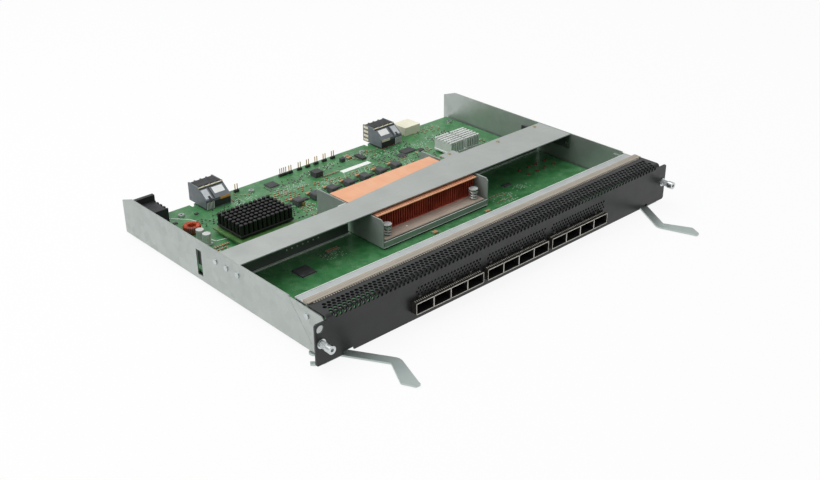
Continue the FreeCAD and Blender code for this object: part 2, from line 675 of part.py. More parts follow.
def front_panel():
    """One folded sheet: face, ears and a top that folds back."""
    face = profile("panel_face", "XZ_Plane",
                   [("-ear_span / 2", "panel_bottom"), ("ear_span / 2", "panel_bottom"),
                    ("ear_span / 2", above("ear_top")), ("-ear_span / 2", above("ear_top"))],
                   "panel_sheet", ("0", behind("panel_sheet"), "0"))
    round_edges(face, "panel_ear_corners", "ear_round",
                lambda a, b: near(a.x, b.x) and near(a.z, b.z))
    top = above("panel_top")
    fold = profile("panel_fold_section", "YZ_Plane",
                   [("0", above("ear_top - fold_radius")),
                    ("panel_sheet", above("ear_top - fold_radius")),
                    ("panel_sheet", top + " - panel_sheet"),
                    ("panel_fold", top + " - panel_sheet"),
                    ("panel_fold", top), ("0", top)],
                   "2 * panel_half", ("-panel_half", "front", "0"))
    high = now.floor_drop + now.panel_top
    round_edges(fold, "panel_outer_bend", "fold_radius",
                lambda a, b: near(a.y, 0) and near(b.y, 0) and near(a.z, high)
                and near(b.z, high))
    round_edges(fold, "panel_inner_bend", "fold_radius - panel_sheet",
                lambda a, b: near(a.y, now.panel_sheet) and near(b.y, now.panel_sheet)
                and near(a.z, high - now.panel_sheet) and near(b.z, high - now.panel_sheet))
    openings = []
    for number in range(3):
        middle = group_middle(number)
        openings.append(block("panel_port_window_%d" % number,
                              (middle + " - cage_half - cage_gap", behind("-1"),
                               "board_top - cage_gap"),
                              (middle + " + cage_half + cage_gap", behind("panel_sheet + 1"),
                               "cage_top + cage_gap")))
        for port in range(4):
            openings.append(block("panel_light_slot_%d_%d" % (number, port),
                                  (port_middle(number, port) + " - light_long / 2 - light_gap",
                                   behind("-1"), "light_low - light_gap"),
                                  (port_middle(number, port) + " + light_long / 2 + light_gap",
                                   behind("panel_sheet + 1"),
                                   "light_low + light_tall + light_gap")))
    openings.append(rod("panel_ear_hole", "ear_hole_radius", "panel_sheet + 2",
                        ("-ear_line", behind("-1"), above("ear_hole_height")), "y"))
    for side, sign in SIDES:
        openings.append(rod("panel_%s_bush_hole" % side, "bush_radius", "panel_sheet + 2",
                            ("%d * ear_line" % sign, behind("-1"), "captive_z"), "y"))
        near_end = "%d * (pivot_x - notch_inward + notch_span / 2)" % sign
        openings.append(block("panel_%s_notch" % side,
                              (near_end + " - notch_span / 2", behind("-1"),
                               "panel_bottom - 1"),
                              (near_end + " + notch_span / 2", behind("panel_sheet + 1"),
                               "panel_bottom + notch_tall")))
    whole = join("panel_joined", [face, fold])
    return node("front_panel", cut("panel_cut", whole, openings))


def gasket_carrier():
    """A channel that opens downwards, behind the panel's folded top."""
    low = "side_top - carrier_web"
    front = "carrier_front"
    outline = [(front, low), (front + " + sheet", low), (front + " + sheet", "beam_low_face"),
               ("carrier_rear - sheet", "beam_low_face"), ("carrier_rear - sheet", low),
               ("carrier_rear", low), ("carrier_rear", "side_top"), (front, "side_top")]
    inner = "tray_inner - sheet"
    body = profile("carrier_channel", "YZ_Plane", outline, "2 * (%s)" % inner,
                   ("-(%s)" % inner, "front", "0"))
    return node("gasket_carrier", body)


def foam_gasket():
    return node("foam_gasket",
                block("foam_strip",
                      ("-(tray_half - gasket_inset)", behind("carrier_front"), "side_top"),
                      ("tray_half - gasket_inset", behind("carrier_front + gasket_deep"),
                       "side_top + gasket_tall")))


def cross_beam():
    """The beam over the board: a tapered top with webs and end flanges."""
    outline = [("-beam_half", "beam_front"), ("beam_half", "beam_front"),
               ("beam_half", "beam_rear_right"), ("beam_tab_right", "beam_rear_right"),
               ("beam_tab_right", "beam_tab_rear"), ("beam_tab_left", "beam_tab_rear"),
               ("beam_tab_left", "beam_rear_right"), ("beam_taper_right", "beam_rear_right"),
               ("beam_taper_left", "beam_rear_left"), ("-beam_half", "beam_rear_left")]
    top = profile("beam_top", "XY_Plane", outline, "sheet", ("0", "front", "beam_low_face"))
    web_low = "board_top + beam_web_gap"
    pieces = [top]
    pieces.append(block("beam_left_web",
                        ("-(tray_half - beam_web_inset)", behind("beam_rear_left - sheet"),
                         web_low),
                        ("beam_taper_left", behind("beam_rear_left"), "beam_low_face")))
    pieces.append(block("beam_right_web",
                        ("beam_tab_left", behind("beam_rear_right - sheet"), web_low),
                        ("tray_half - beam_web_inset", behind("beam_rear_right"),
                         "beam_low_face")))
    holes = []
    for side, sign in SIDES:
        outer = "-beam_half" if sign < 0 else "beam_half - sheet"
        pieces.append(block("beam_%s_end" % side,
                            (outer, behind("beam_front"), "beam_low_face - beam_end_tall"),
                            (outer + " + sheet", behind("beam_front + beam_end_deep"),
                             "beam_low_face")))
        holes.extend(side_screw_holes("beam_" + side, sign)[:3])
    return node("cross_beam", cut("beam_cut", join("beam_joined", pieces), holes))


def beam_rivets():
    """Blind rivets on the beam's top: each spot is X and depth."""
    spots = [("(beam_tab_left + beam_tab_right) / 2", "beam_tab_rear - 4.5"),
             ("137", "beam_rear_right - 6.7"), ("tray_half - 13.8", "beam_rear_right - 4.6")]
    pieces = [prism("beam_rivet_%d" % number, HEAD_SIDES, "rivet_radius", "rivet_tall",
                  (x, behind(depth), "side_top"))
              for number, (x, depth) in enumerate(spots)]
    return node("beam_rivets", group("beam_rivet_set", pieces))


BOARD_SCREWS = [("-162 * step_x", "board_screw_depth"), ("-80.8 * step_x", "board_screw_depth"),
                ("64 * step_x", "board_screw_depth"), ("196 * step_x", "board_screw_depth"),
                ("-185 * step_x", "board_screw_front"), ("185 * step_x", "board_screw_front")]

SPRING_SCREWS = [("-spring_screw_x", "sink_front + spring_screw_inset"),
                 ("spring_screw_x", "sink_front + spring_screw_inset"),
                 ("-spring_screw_x", "sink_rear - spring_screw_inset"),
                 ("spring_screw_x", "sink_rear - spring_screw_inset")]


def circuit_board():
    base = block("board_blank",
                 ("-board_half", behind("board_front"), "board_low"),
                 ("board_half", behind("board_rear"), "board_top"))
    tools = [block("board_notch_" + name,
                   (x, behind("board_rear - notch_deep"), "board_low - 1"),
                   (x + " + notch_wide", behind("board_rear + 1"), "board_top + 1"))
             for name, x in (("left", "notch_left"), ("right", "notch_right"))]
    for number, (x, depth) in enumerate(BOARD_SCREWS):
        tools.append(prism("board_hole_%d" % number, HOLE_SIDES, "board_screw_shank + screw_clearance",
                         "board_thick + 2", (x, behind(depth), "board_low - 1")))
    for number, (x, depth) in enumerate(SPRING_SCREWS):
        tools.append(prism("board_spring_hole_%d" % number, HOLE_SIDES,
                         "spring_screw_shank + screw_clearance", "board_thick + 2",
                         (x, behind(depth), "board_low - 1")))
    return node("circuit_board", cut("board_cut", base, tools))


def board_standoffs():
    """Standoffs between the tray's drawn floor and the board."""
    pieces = []
    for number, (x, depth) in enumerate(BOARD_SCREWS):
        body = prism("standoff_%d_body" % number, 6, "standoff_radius", "board_low - sheet",
                   (x, behind(depth), "sheet"))
        bore = prism("standoff_%d_bore" % number, HOLE_SIDES, "board_screw_shank + screw_clearance",
                   "board_thick + 2", (x, behind(depth), "board_low - board_thick"))
        pieces.append(cut("standoff_%d" % number, body, [bore]))
    return node("board_standoffs", group("standoff_set", pieces))


def board_screws():
    pieces = []
    for number, (x, depth) in enumerate(BOARD_SCREWS):
        head = prism("board_screw_%d_head" % number, HEAD_SIDES, "board_screw_head", "board_screw_tall",
                   (x, behind(depth), "board_top"))
        shank = prism("board_screw_%d_shank" % number, HOLE_SIDES, "board_screw_shank",
                    "board_thick + 2", (x, behind(depth), "board_low - 2"))
        pieces.append(join("board_screw_%d" % number, [head, shank]))
    return node("board_screws", group("board_screw_set", pieces))


def switch_chip():
    return node("switch_chip",
                block("chip_body",
                      ("-chip_half", behind("chip_depth - chip_half"), "board_top"),
                      ("chip_half", behind("chip_depth + chip_half"), "sink_low")))


def heat_sink_base():
    base = block("base_plate_blank", ("-sink_half", behind("sink_front"), "sink_low"),
                 ("sink_half", behind("sink_rear"), "sink_high"))
    holes = [prism("base_plate_hole_%d" % number, HOLE_SIDES, "spring_screw_shank + screw_clearance",
                 "sink_thick + 2", (x, behind(depth), "sink_low - 1"))
             for number, (x, depth) in enumerate(SPRING_SCREWS)]
    return node("heat_sink_base", cut("base_plate", base, holes))


def comb(foot_low, foot_high, top, first, pitch, count, thick):
    """The outline of upright fins on a foot, as a closed wire in X and Z."""
    left = first
    right = first + pitch * (count - 1) + thick
    points = [(right, foot_low), (left, foot_low)]
    for number in range(count):
        start = first + pitch * number
        points.append((start, top))
        points.append((start + thick, top))
        if number < count - 1:
            points.append((start + thick, foot_high))
            points.append((start + pitch, foot_high))
    points.append(points[0])
    return Part.makePolygon([Vector(x, 0, z) for x, z in points])


def plain_shape(name, shape, start):
    """A sub-part whose shape is worked out here from the sheet's values."""
    piece = fresh("Part::Feature", name)
    piece.Shape = shape
    piece.Placement = Placement(Vector(*start), Rotation())
    return piece


def copper_fin_stack():
    """Upright copper fins, each normal to X, on a thin foil."""
    count = int(now.fin_count)
    span = now.fin_pitch * (count - 1) + now.fin_foil
    wire = comb(0, now.fin_foot, now.lid_low - now.sink_high, -span / 2,
                now.fin_pitch, count, now.fin_foil)
    fins = Part.Face(wire).extrude(Vector(0, now.fin_rear - now.fin_front, 0))
    return node("copper_fin_stack",
                plain_shape("fin_stack", fins,
                            (0, now.front + now.fin_front, now.sink_high)))


def copper_lid():
    return node("copper_lid",
                block("lid_plate", ("-lid_half", behind("fin_front"), "lid_low"),
                      ("lid_half", behind("fin_rear"), "lid_low + lid_thick")))


def heat_sink_shroud():
    """A folded tray round the copper sink, with a window for the chip."""
    wall = [("shroud_front", "shroud_floor"), ("shroud_rear", "shroud_floor"),
            ("shroud_rear", above("shroud_high - shroud_corner")),
            ("shroud_rear - shroud_corner", above("shroud_high")),
            ("shroud_front + shroud_corner", above("shroud_high")),
            ("shroud_front", above("shroud_high - shroud_corner"))]
    pieces = []
    for side, sign in SIDES:
        outer = "-shroud_half" if sign < 0 else "shroud_half - sheet"
        pieces.append(profile("shroud_%s_wall" % side, "YZ_Plane", wall, "sheet",
                              (outer, "front", "0")))
    pieces.append(block("shroud_floor_sheet",
                        ("-shroud_half", behind("shroud_front"), "shroud_floor"),
                        ("shroud_half", behind("shroud_rear"), "sink_low")))
    lip = "shroud_half - sheet - 0.6"
    for name, depth in (("front", "shroud_front"), ("rear", "shroud_rear - sheet")):
        pieces.append(block("shroud_%s_lip" % name,
                            ("-(%s)" % lip, behind(depth), "shroud_floor"),
                            (lip, behind(depth + " + sheet"), above("shroud_lip"))))
    tools = [block("shroud_chip_window",
                   ("-shroud_window", behind("chip_depth - shroud_window"),
                    "shroud_floor - 1"),
                   ("shroud_window", behind("chip_depth + shroud_window"), "sink_low + 1"))]
    for number, (x, depth) in enumerate(SPRING_SCREWS):
        tools.append(prism("shroud_hole_%d" % number, HOLE_SIDES, "spring_screw_shank + screw_clearance",
                         "sheet + 2", (x, behind(depth), "shroud_floor - 1")))
    return node("heat_sink_shroud", cut("shroud_cut", join("shroud_joined", pieces), tools))


def sink_spacers():
    """Rings that carry the shroud on the board."""
    pieces = []
    for number, (x, depth) in enumerate(SPRING_SCREWS):
        ring = prism("spacer_%d_body" % number, HEAD_SIDES, "spacer_radius", "shroud_floor - board_top",
                   (x, behind(depth), "board_top"))
        bore = prism("spacer_%d_bore" % number, HOLE_SIDES, "spring_screw_shank + screw_clearance",
                   "shroud_floor - board_top + 2", (x, behind(depth), "board_top - 1"))
        pieces.append(cut("spacer_%d" % number, ring, [bore]))
    return node("sink_spacers", group("spacer_set", pieces))


def sink_spring_screws():
    pieces = []
    head_low = above("spring_screw_high - spring_screw_cap")
    shank_low = "board_low - board_thick"
    for number, (x, depth) in enumerate(SPRING_SCREWS):
        head = prism("spring_screw_%d_head" % number, HEAD_SIDES, "spring_screw_head", "spring_screw_cap",
                   (x, behind(depth), head_low))
        shank = prism("spring_screw_%d_shank" % number, HOLE_SIDES, "spring_screw_shank",
                    "%s - (%s)" % (head_low, shank_low), (x, behind(depth), shank_low))
        nut = prism("spring_screw_%d_nut" % number, 6, "spring_screw_shank * 2",
                    "board_low - (%s)" % shank_low, (x, behind(depth), shank_low))
        pieces.append(join("spring_screw_%d" % number, [head, shank, nut]))
    return node("sink_spring_screws", group("spring_screw_set", pieces))


def sink_springs():
    """Compression springs under the heads, as plain sleeves."""
    pieces = []
    tall = above("spring_screw_high - spring_screw_cap") + " - sink_high"
    for number, (x, depth) in enumerate(SPRING_SCREWS):
        body = prism("sink_spring_%d_body" % number, HEAD_SIDES, "spring_outer", tall,
                   (x, behind(depth), "sink_high"))
        bore = prism("sink_spring_%d_bore" % number, HEAD_SIDES, "spring_inner", tall + " + 2",
                   (x, behind(depth), "sink_high - 1"))
        pieces.append(cut("sink_spring_%d" % number, body, [bore]))
    return node("sink_springs", group("sink_spring_set", pieces))


def port_cage(number, label):
    """A ganged cage: a thin box with four open bays."""
    middle = group_middle(number)
    base = block(label + "_blank",
                 (middle + " - cage_half", behind("-cage_out"), "board_top"),
                 (middle + " + cage_half", behind("cage_rear"), "cage_top"))
    bays = [block("%s_bay_%d" % (label, port),
                  (port_middle(number, port) + " - port_pitch / 2 + cage_wall",
                   behind("-cage_out - 1"), "board_top + cage_wall"),
                  (port_middle(number, port) + " + port_pitch / 2 - cage_wall",
                   behind("cage_rear - cage_wall"), "cage_top - cage_wall"))
            for port in range(4)]
    return node(label, cut(label + "_cut", base, bays))


def port_connectors():
    """The socket at the inner end of each port."""
    pieces = []
    for number in range(3):
        for port in range(4):
            middle = port_middle(number, port)
            side = "port_pitch / 2 - cage_wall - port_block_side"
            rear = "cage_rear - cage_wall"
            body = block("port_block_%d_%d" % (number, port),
                         ("%s - (%s)" % (middle, side), behind(rear + " - port_block"),
                          "board_top + cage_wall"),
                         ("%s + %s" % (middle, side), behind(rear),
                          "cage_top - cage_wall - port_block_side"))
            pieces.append(body)
    return node("port_connectors", group("port_block_set", pieces))


def status_lights():
    """Light bars, one over each port, flush with the panel's face."""
    pieces = []
    for number in range(3):
        for port in range(4):
            middle = port_middle(number, port)
            pieces.append(block("light_bar_%d_%d" % (number, port),
                                (middle + " - light_long / 2", behind("0"), "light_low"),
                                (middle + " + light_long / 2", behind("light_deep"),
                                 "light_low + light_tall")))
    return node("status_lights", group("light_bar_set", pieces))


def lever_corners(sign):
    """A lever's outline about its pivot. Each corner is given outward from
    the pivot and back along the card; the arm's edges are straight lines."""
    half = "arm_wide / 2 / cos(arm_angle)"
    outer_edge = "-arm_offset + (%s) * tan(arm_angle) + " + half
    inner_edge = "-arm_offset + (%s) * tan(arm_angle) - " + half
    bend_out = outer_edge % "-bend_ahead"
    bend_in = inner_edge % "-bend_ahead"
    tip_in = "%s + (grip_tip - tip_round * 2 - bend_ahead) * tan(grip_angle)" % bend_in
    corners = [
        (outer_edge % "-claw_front", "-claw_front"),
        (bend_out, "-bend_ahead"),
        ("%s + (grip_shoulder - bend_ahead) * tan(grip_flare)" % bend_out, "-grip_shoulder"),
        (tip_in + " + tip_wide + tip_round * 0.4", "tip_round * 0.4 - grip_tip"),
        (tip_in + " + tip_round * 0.4", "-grip_tip"),
        (tip_in, "tip_round * 2 - grip_tip"),
        (bend_in, "-bend_ahead"),
        (inner_edge % "-hook_wide", "-hook_wide"),
        ("-lever_back + arm_offset * 0.7", "lever_back * 0.6"),
        ("-arm_offset * 0.4", "lever_back"),
        ("hook_reach - hook_wide / 3", "hook_wide + hook_wide * 0.15"),
        ("hook_reach", "hook_wide * 0.75"),
        ("hook_reach - hook_wide * 0.1", "0"),
        ("mouth_reach", "-hook_wide * 0.5"),
        ("mouth_reach + claw_wide * 0.3", "claw_wide * 1.9 - claw_front"),
        ("claw_reach - claw_wide * 1.25", "claw_wide * 1.3 - claw_front"),
        ("claw_reach - claw_wide * 0.5", "claw_wide * 1.9 - claw_front"),
        ("claw_reach", "claw_wide * 1.2 - claw_front"),
        ("claw_reach - claw_wide * 0.7", "claw_wide * 0.5 - claw_front"),
        ("claw_reach - claw_wide * 2", "-claw_front"),
    ]
    return [("%d * (%s)" % (sign, u), v) for u, v in corners]


def upright_edges(body, corners):
    """Names of the body's upright edges that stand on the given corners."""
    names = []
    for index, edge in enumerate(body.Tip.Shape.Edges, start=1):
        ends = [vertex.Point for vertex in edge.Vertexes]
        if len(ends) < 2 or near(ends[0].z, ends[1].z):
            continue
        if any(math.hypot(ends[0].x - x, ends[0].y - y) < 0.01 for x, y in corners):
            names.append("Edge%d" % index)
    return names


def ejector_lever(side, sign):
    """A flat lever: a claw with two prongs, an arm, and a grip past its bend."""
    name = side + "_lever_plate"
    body = profile(name, "XY_Plane", lever_corners(sign), "lever_thick",
                   ("%d * pivot_x" % sign, behind("pivot_depth"), "lever_low"))
    sketched = doc.getObject(name + "_corners")

    def spots(numbers):
        return [(getattr(sketched, "u%d" % n), getattr(sketched, "v%d" % n)) for n in numbers]

    for label, numbers, radius in (("bend", [6], "bend_round"),
                                   ("tips", [2, 3, 4, 5], "tip_round"),
                                   ("back", [8, 9], "tip_round")):
        base = body.Tip
        names = upright_edges(body, spots(numbers))
        rounding = body.newObject("PartDesign::Fillet", "%s_%s" % (name, label))
        rounding.Base = (base, names)
        rounding.setExpression("Radius", bound(radius))
        doc.recompute()
    bore = rod(side + "_lever_bore", "pivot_radius + pivot_clearance", "lever_thick + 2",
               ("%d * pivot_x" % sign, behind("pivot_depth"), "lever_low - 1"))
    return node(side + "_lever", cut(side + "_lever_cut", body, [bore]))


def lever_rivet(side, sign):
    """A shouldered rivet from under the lever through the tray's floor."""
    x = "%d * pivot_x" % sign
    y = behind("pivot_depth")
    low = "lever_low - pivot_head_gap - pivot_head_tall"
    head = prism(side + "_rivet_head", RING_SIDES, "pivot_head", "pivot_head_tall", (x, y, low))
    shank = rod(side + "_rivet_shank", "pivot_radius", "floor_drop + 1.5 * sheet - (%s)" % low,
                (x, y, low))
    upset = prism(side + "_rivet_upset", HEAD_SIDES, "pivot_head - 1", "sheet * 0.8",
                (x, y, "floor_drop + sheet"))
    return node(side + "_lever_rivet", join(side + "_rivet", [head, shank, upset]))


def captive_bush(side, sign):
    """The bush pressed into the ear that guides a captive screw."""
    x = "%d * ear_line" % sign
    flange = prism(side + "_bush_flange", RING_SIDES, "bush_flange", "bush_flange_tall",
                 (x, behind("-bush_flange_tall"), "captive_z"), "y")
    sleeve = rod(side + "_bush_sleeve", "bush_radius", "clip_front",
                 (x, behind("0"), "captive_z"), "y")
    bore = rod(side + "_bush_bore", "captive_shank + captive_bore_gap",
               "clip_front + bush_flange_tall + 2",
               (x, behind("-bush_flange_tall - 1"), "captive_z"), "y")
    return node(side + "_captive_bush",
                cut(side + "_bush", join(side + "_bush_joined", [flange, sleeve]), [bore]))


def captive_screw(side, sign):
    """A sprung screw with a large head, a recess and a grooved shank."""
    x = "%d * ear_line" % sign
    head = prism(side + "_captive_head", RING_SIDES, "captive_head", "captive_head_long",
               (x, behind("-captive_out"), "captive_z"), "y")
    shank = rod(side + "_captive_shank", "captive_shank", "captive_out + captive_tip",
                (x, behind("-captive_out"), "captive_z"), "y")
    recess = prism(side + "_captive_recess", 6, "captive_recess", "captive_recess_deep + 1",
                   (x, behind("-captive_out - 1"), "captive_z"), "y")
    groove_body = rod(side + "_captive_groove_outer", "captive_shank + 1",
                      "clip_thick + 2 * clip_gap",
                      (x, behind("clip_front"), "captive_z"), "y")
    groove_core = rod(side + "_captive_groove_core", "clip_groove", "clip_thick + 2 * clip_gap",
                      (x, behind("clip_front"), "captive_z"), "y")
    groove = cut(side + "_captive_groove", groove_body, [groove_core])
    return node(side + "_captive_screw",
                cut(side + "_captive", join(side + "_captive_joined", [head, shank]),
                    [recess, groove]))


def captive_spring(side, sign):
    """The spring between the head and the bush, as a plain sleeve."""
    x = "%d * ear_line" % sign
    start = "captive_head_long - captive_out + captive_end_gap"
    length = "captive_out - captive_head_long - bush_flange_tall - 2 * captive_end_gap"
    body = prism(side + "_spring_body", HEAD_SIDES, "captive_spring_outer", length,
               (x, behind(start), "captive_z"), "y")
    bore = prism(side + "_spring_bore", HEAD_SIDES, "captive_spring_inner", length + " + 2",
               (x, behind(start + " - 1"), "captive_z"), "y")
    return node(side + "_captive_spring", cut(side + "_spring", body, [bore]))


def retaining_ring(side, sign):
    """The ring behind the ear that keeps a captive screw in its bush."""
    x = "%d * ear_line" % sign
    body = prism(side + "_ring_body", RING_SIDES, "clip_radius", "clip_thick",
               (x, behind("clip_front + clip_gap"), "captive_z"), "y")
    bore = rod(side + "_ring_bore", "clip_groove + clip_gap", "clip_thick + 2",
               (x, behind("clip_front - 1"), "captive_z"), "y")
    return node(side + "_retaining_ring", cut(side + "_ring", body, [bore]))


def lump(name, middle, depth, wide, deep, tall, low="board_top"):
    """A box on the board about a middle, given by X and depth."""
    return block(name,
                 ("%s - (%s) / 2" % (middle, wide), behind("%s - (%s) / 2" % (depth, deep)), low),
                 ("%s + (%s) / 2" % (middle, wide), behind("%s + (%s) / 2" % (depth, deep)),
                  "%s + %s" % (low, tall)))


def rear_connector(side, left, right):
    """A right-angle connector with a slanted back and a ribbed top."""
    name = "rear_connector_" + side
    low = "board_top + connector_base"
    high = above("connector_high")
    outline = [("connector_front", low), ("connector_rear", low),
               ("connector_rear", high + " - connector_rib"),
               ("connector_slope_rear", high + " - connector_rib"),
               ("connector_front", above("connector_shoulder"))]
    body = profile(name + "_body", "YZ_Plane", outline, "(%s) - (%s)" % (right, left),
                   (left, "front", "0"))
    pieces = [body]
    gap = "((%s) - (%s) - connector_rib_wide) / (connector_ribs - 1)" % (right, left)
    for number in range(int(now.connector_ribs)):
        start = "%s + %d * %s" % (left, number, gap)
        pieces.append(block("%s_rib_%d" % (name, number),
                            (start, behind("connector_slope_rear"), high + " - connector_rib"),
                            (start + " + connector_rib_wide", behind("connector_rear"), high)))
    slots = []
    wide = "((%s) - (%s)) / connector_columns" % (right, left)
    for column in range(int(now.connector_columns)):
        middle = "%s + (%d + 0.5) * %s" % (left, column, wide)
        slots.append(block("%s_slot_%d" % (name, column),
                           (middle + " - connector_slot / 2",
                            behind("connector_rear - connector_slot_deep"),
                            low + " + connector_slot"),
                           (middle + " + connector_slot / 2", behind("connector_rear + 1"),
                            high + " - connector_rib - connector_slot")))
    node(name + "_housing", cut(name + "_cut", join(name + "_joined", pieces), slots))
    return node(name + "_contacts",
                block(name + "_base", (left, behind("connector_front + 1"), "board_top"),
                      (right, behind("board_rear - notch_deep"), low)))


def guide_block():
    """The moulded block that takes the backplane's guide pin."""
    body = block("guide_blank", ("guide_left", behind("guide_front"), "board_top"),
                 ("guide_left + guide_wide", behind("guide_rear"), "board_top + guide_tall"))
    overhang = block("guide_step", ("guide_left - 1", behind("board_rear"), "board_top - 1"),
                     ("guide_left + guide_wide + 1", behind("guide_rear + 1"),
                      "board_top + guide_step"))
    bore = rod("guide_bore", "guide_hole", "guide_hole_deep + 1",
               ("guide_left + guide_wide / 2", behind("guide_rear - guide_hole_deep"),
                "board_top + guide_tall / 2"), "y")
    return node("guide_block", cut("guide_cut", body, [overhang, bore]))


def power_connector():
    """A black block with a taller flange at the rear and slots in one side."""
    low = ("power_left", behind("power_front"), "board_top")
    body = block("power_body", low,
                 ("power_left + power_wide", behind("power_flange"), "board_top + power_tall"))
    flange = block("power_flange_plate", ("power_left", behind("power_flange"), "board_top"),
                   ("power_left + power_wide", behind("power_rear"),
                    above("power_flange_high")))
    slots = []
    pitch = "(power_flange - power_front) / power_slots"
    for number in range(int(now.power_slots)):
        middle = behind("power_front + (%d + 0.5) * %s" % (number, pitch))
        slots.append(block("power_slot_%d" % number,
                           ("power_left + power_wide - power_slot_deep",
                            middle + " - %s / 4" % pitch, "board_top + power_slot_low"),
                           ("power_left + power_wide + 1", middle + " + %s / 4" % pitch,
                            "board_top + power_tall + 1")))
    blades = block("power_mouth", ("power_left + power_mouth_edge",
                                   behind("power_rear - power_mouth_deep"),
                                   "board_top + power_mouth_edge"),
                   ("power_left + power_wide - power_mouth_edge", behind("power_rear + 1"),
                    "board_top + power_tall - power_mouth_edge"))
    return node("power_connector",
                cut("power_cut", join("power_joined", [body, flange]), slots + [blades]))


def power_brick():
    """A converter on pins: its own small board, a core and a pin-fin sink."""
    board = block("brick_board_plate",
                  ("brick_left", behind("brick_front"), "board_top + brick_rise"),
                  ("brick_left + brick_wide", behind("brick_front + brick_deep"),
                   "board_top + brick_rise + brick_thick"))
    node("brick_board", board)
    pins = []
    for across in range(2):
        for along in range(4):
            x = "brick_left + brick_pin_side + %d * (brick_wide - 2 * brick_pin_side)" % across
            y = behind("brick_front + brick_pin_end + %d * (brick_deep - 2 * brick_pin_end) / 3"
                       % along)
            pins.append(prism("brick_pin_%d_%d" % (across, along), 6, "brick_pin",
                              "brick_rise", (x, y, "board_top")))
    node("brick_pins", group("brick_pin_set", pins))
    core_low = "board_top + brick_rise + brick_thick"
    node("brick_core",
         block("brick_core_plate",
               ("pin_sink_left + core_inset", behind("pin_sink_front + core_inset"), core_low),
               ("pin_sink_left + pin_sink_wide - core_inset",
                behind("pin_sink_front + pin_sink_deep - core_inset"),
                core_low + " + core_tall")))
    base_low = now.board_top + now.brick_rise + now.brick_thick + now.core_tall
    plate = Part.makeBox(now.pin_sink_wide, now.pin_sink_deep, now.pin_sink_base)
    columns = int(now.pin_columns)
    rows = int(now.pin_rows)
    reach = now.pin_sink_high + now.floor_drop - base_low
    solids = [plate]
    for column in range(columns):
        for row in range(rows):
            x = now.pin_sink_edge + column * (
                (now.pin_sink_wide - 2 * now.pin_sink_edge) / (columns - 1))
            y = now.pin_sink_edge + row * (
                (now.pin_sink_deep - 2 * now.pin_sink_edge) / (rows - 1))
            ring = [Vector(x + now.pin_fin * math.cos(math.pi * k / 3),
                           y + now.pin_fin * math.sin(math.pi * k / 3), 0)
                    for k in range(7)]
            solids.append(Part.Face(Part.makePolygon(ring)).extrude(Vector(0, 0, reach)))
    whole = solids[0].fuse(solids[1:]).removeSplitter()
    return node("pin_fin_heat_sink",
                plain_shape("pin_sink", whole,
                            (now.pin_sink_left, now.front + now.pin_sink_front, base_low)))


def silver_heat_sink():
    """Plate fins on a base, with a split across the middle."""
    node("silver_sink_chip",
         block("silver_chip_body",
               ("silver_left + silver_chip_inset", behind("silver_front + silver_chip_inset"),
                "board_top"),
               ("silver_left + silver_wide - silver_chip_inset",
                behind("silver_front + silver_deep - silver_chip_inset"),
                "board_top + silver_chip_tall")))
    count = int(now.silver_fins)
    pitch = (now.silver_wide - now.silver_fin) / (count - 1)
    low = now.board_top + now.silver_chip_tall
    wire = comb(0, now.silver_base, now.floor_drop + now.silver_high - low, 0, pitch, count,
                now.silver_fin)
    fins = Part.Face(wire).extrude(Vector(0, now.silver_deep, 0))
    split = Part.makeBox(now.silver_wide + 2, now.silver_split, now.silver_high,
                         Vector(-1, (now.silver_deep - now.silver_split) / 2,
                                now.silver_base + 1))
    return node("silver_heat_sink",
                plain_shape("silver_sink", fins.cut(split),
                            (now.silver_left, now.front + now.silver_front, low)))


def toroid():
    """A wound ring that lies flat, and the ring core inside its winding."""
    middle = ("toroid_x", behind("toroid_depth"))
    low = "board_top"

    def ring(name, inner, outer, start, tall):
        body = prism(name + "_body", RING_SIDES, outer, tall, middle + (start,))
        bore = prism(name + "_bore", RING_SIDES, inner, tall + " + 2", middle + (start + " - 1",))
        return cut(name, body, [bore])

    core = ring("toroid_core_ring", "toroid_hole + toroid_wire", "toroid_outer - toroid_wire",
                low + " + toroid_wire", "toroid_tall - 2 * toroid_wire")
    hollow = ring("toroid_hollow", "toroid_hole + toroid_wire - 0.02",
                  "toroid_outer - toroid_wire + 0.02",
                  low + " + toroid_wire - 0.02", "toroid_tall - 2 * toroid_wire + 0.04")
    wound = ring("toroid_wound", "toroid_hole", "toroid_outer", low, "toroid_tall")
    gap = block("toroid_gap",
                (middle[0], "%s - toroid_gap / 2" % middle[1], low + " - 1"),
                ("%s + toroid_outer + 1" % middle[0], "%s + toroid_gap / 2" % middle[1],
                 low + " + toroid_tall + 1"))
    node("toroid_core", core)
    return node("toroid_winding", cut("toroid_winding_cut", wound, [hollow, gap]))


# Parts on the board, in layout steps of about a millimetre: place across the board, place
# behind the panel's face, width, depth and height
CHIPS = [
    (-144.0, 113.0, 16.5, 16.5, 1.7), (-56.8, 279.4, 12.2, 12.6, 1.4),
    (-175.0, 271.0, 5.0, 4.0, 1.2), (-149.0, 275.0, 5.0, 4.0, 1.2),
    (34.0, 277.5, 5.6, 5.6, 4.0), (54.5, 272.0, 6.5, 15.0, 2.4),
    (90.0, 245.0, 10.0, 10.0, 1.5), (103.5, 251.0, 17.0, 12.0, 1.5),
    (116.0, 243.5, 8.0, 7.0, 1.3), (115.5, 116.0, 11.0, 6.0, 1.2),
    (-120.0, 256.0, 9.0, 9.0, 1.3), (-9.0, 266.5, 10.5, 10.5, 6.0),
]

CAPACITOR_BLOCKS = [
    (44.0, 278.5, 6.0, 4.0, 2.2), (44.0, 283.5, 6.0, 4.0, 2.2), (-101.5, 127.0, 14.0, 4.0, 1.8),
    (-169.0, 202.5, 16.0, 2.6, 1.6), (-10.5, 89.0, 6.0, 5.0, 2.0), (57.5, 87.0, 7.0, 3.0, 1.8),
]

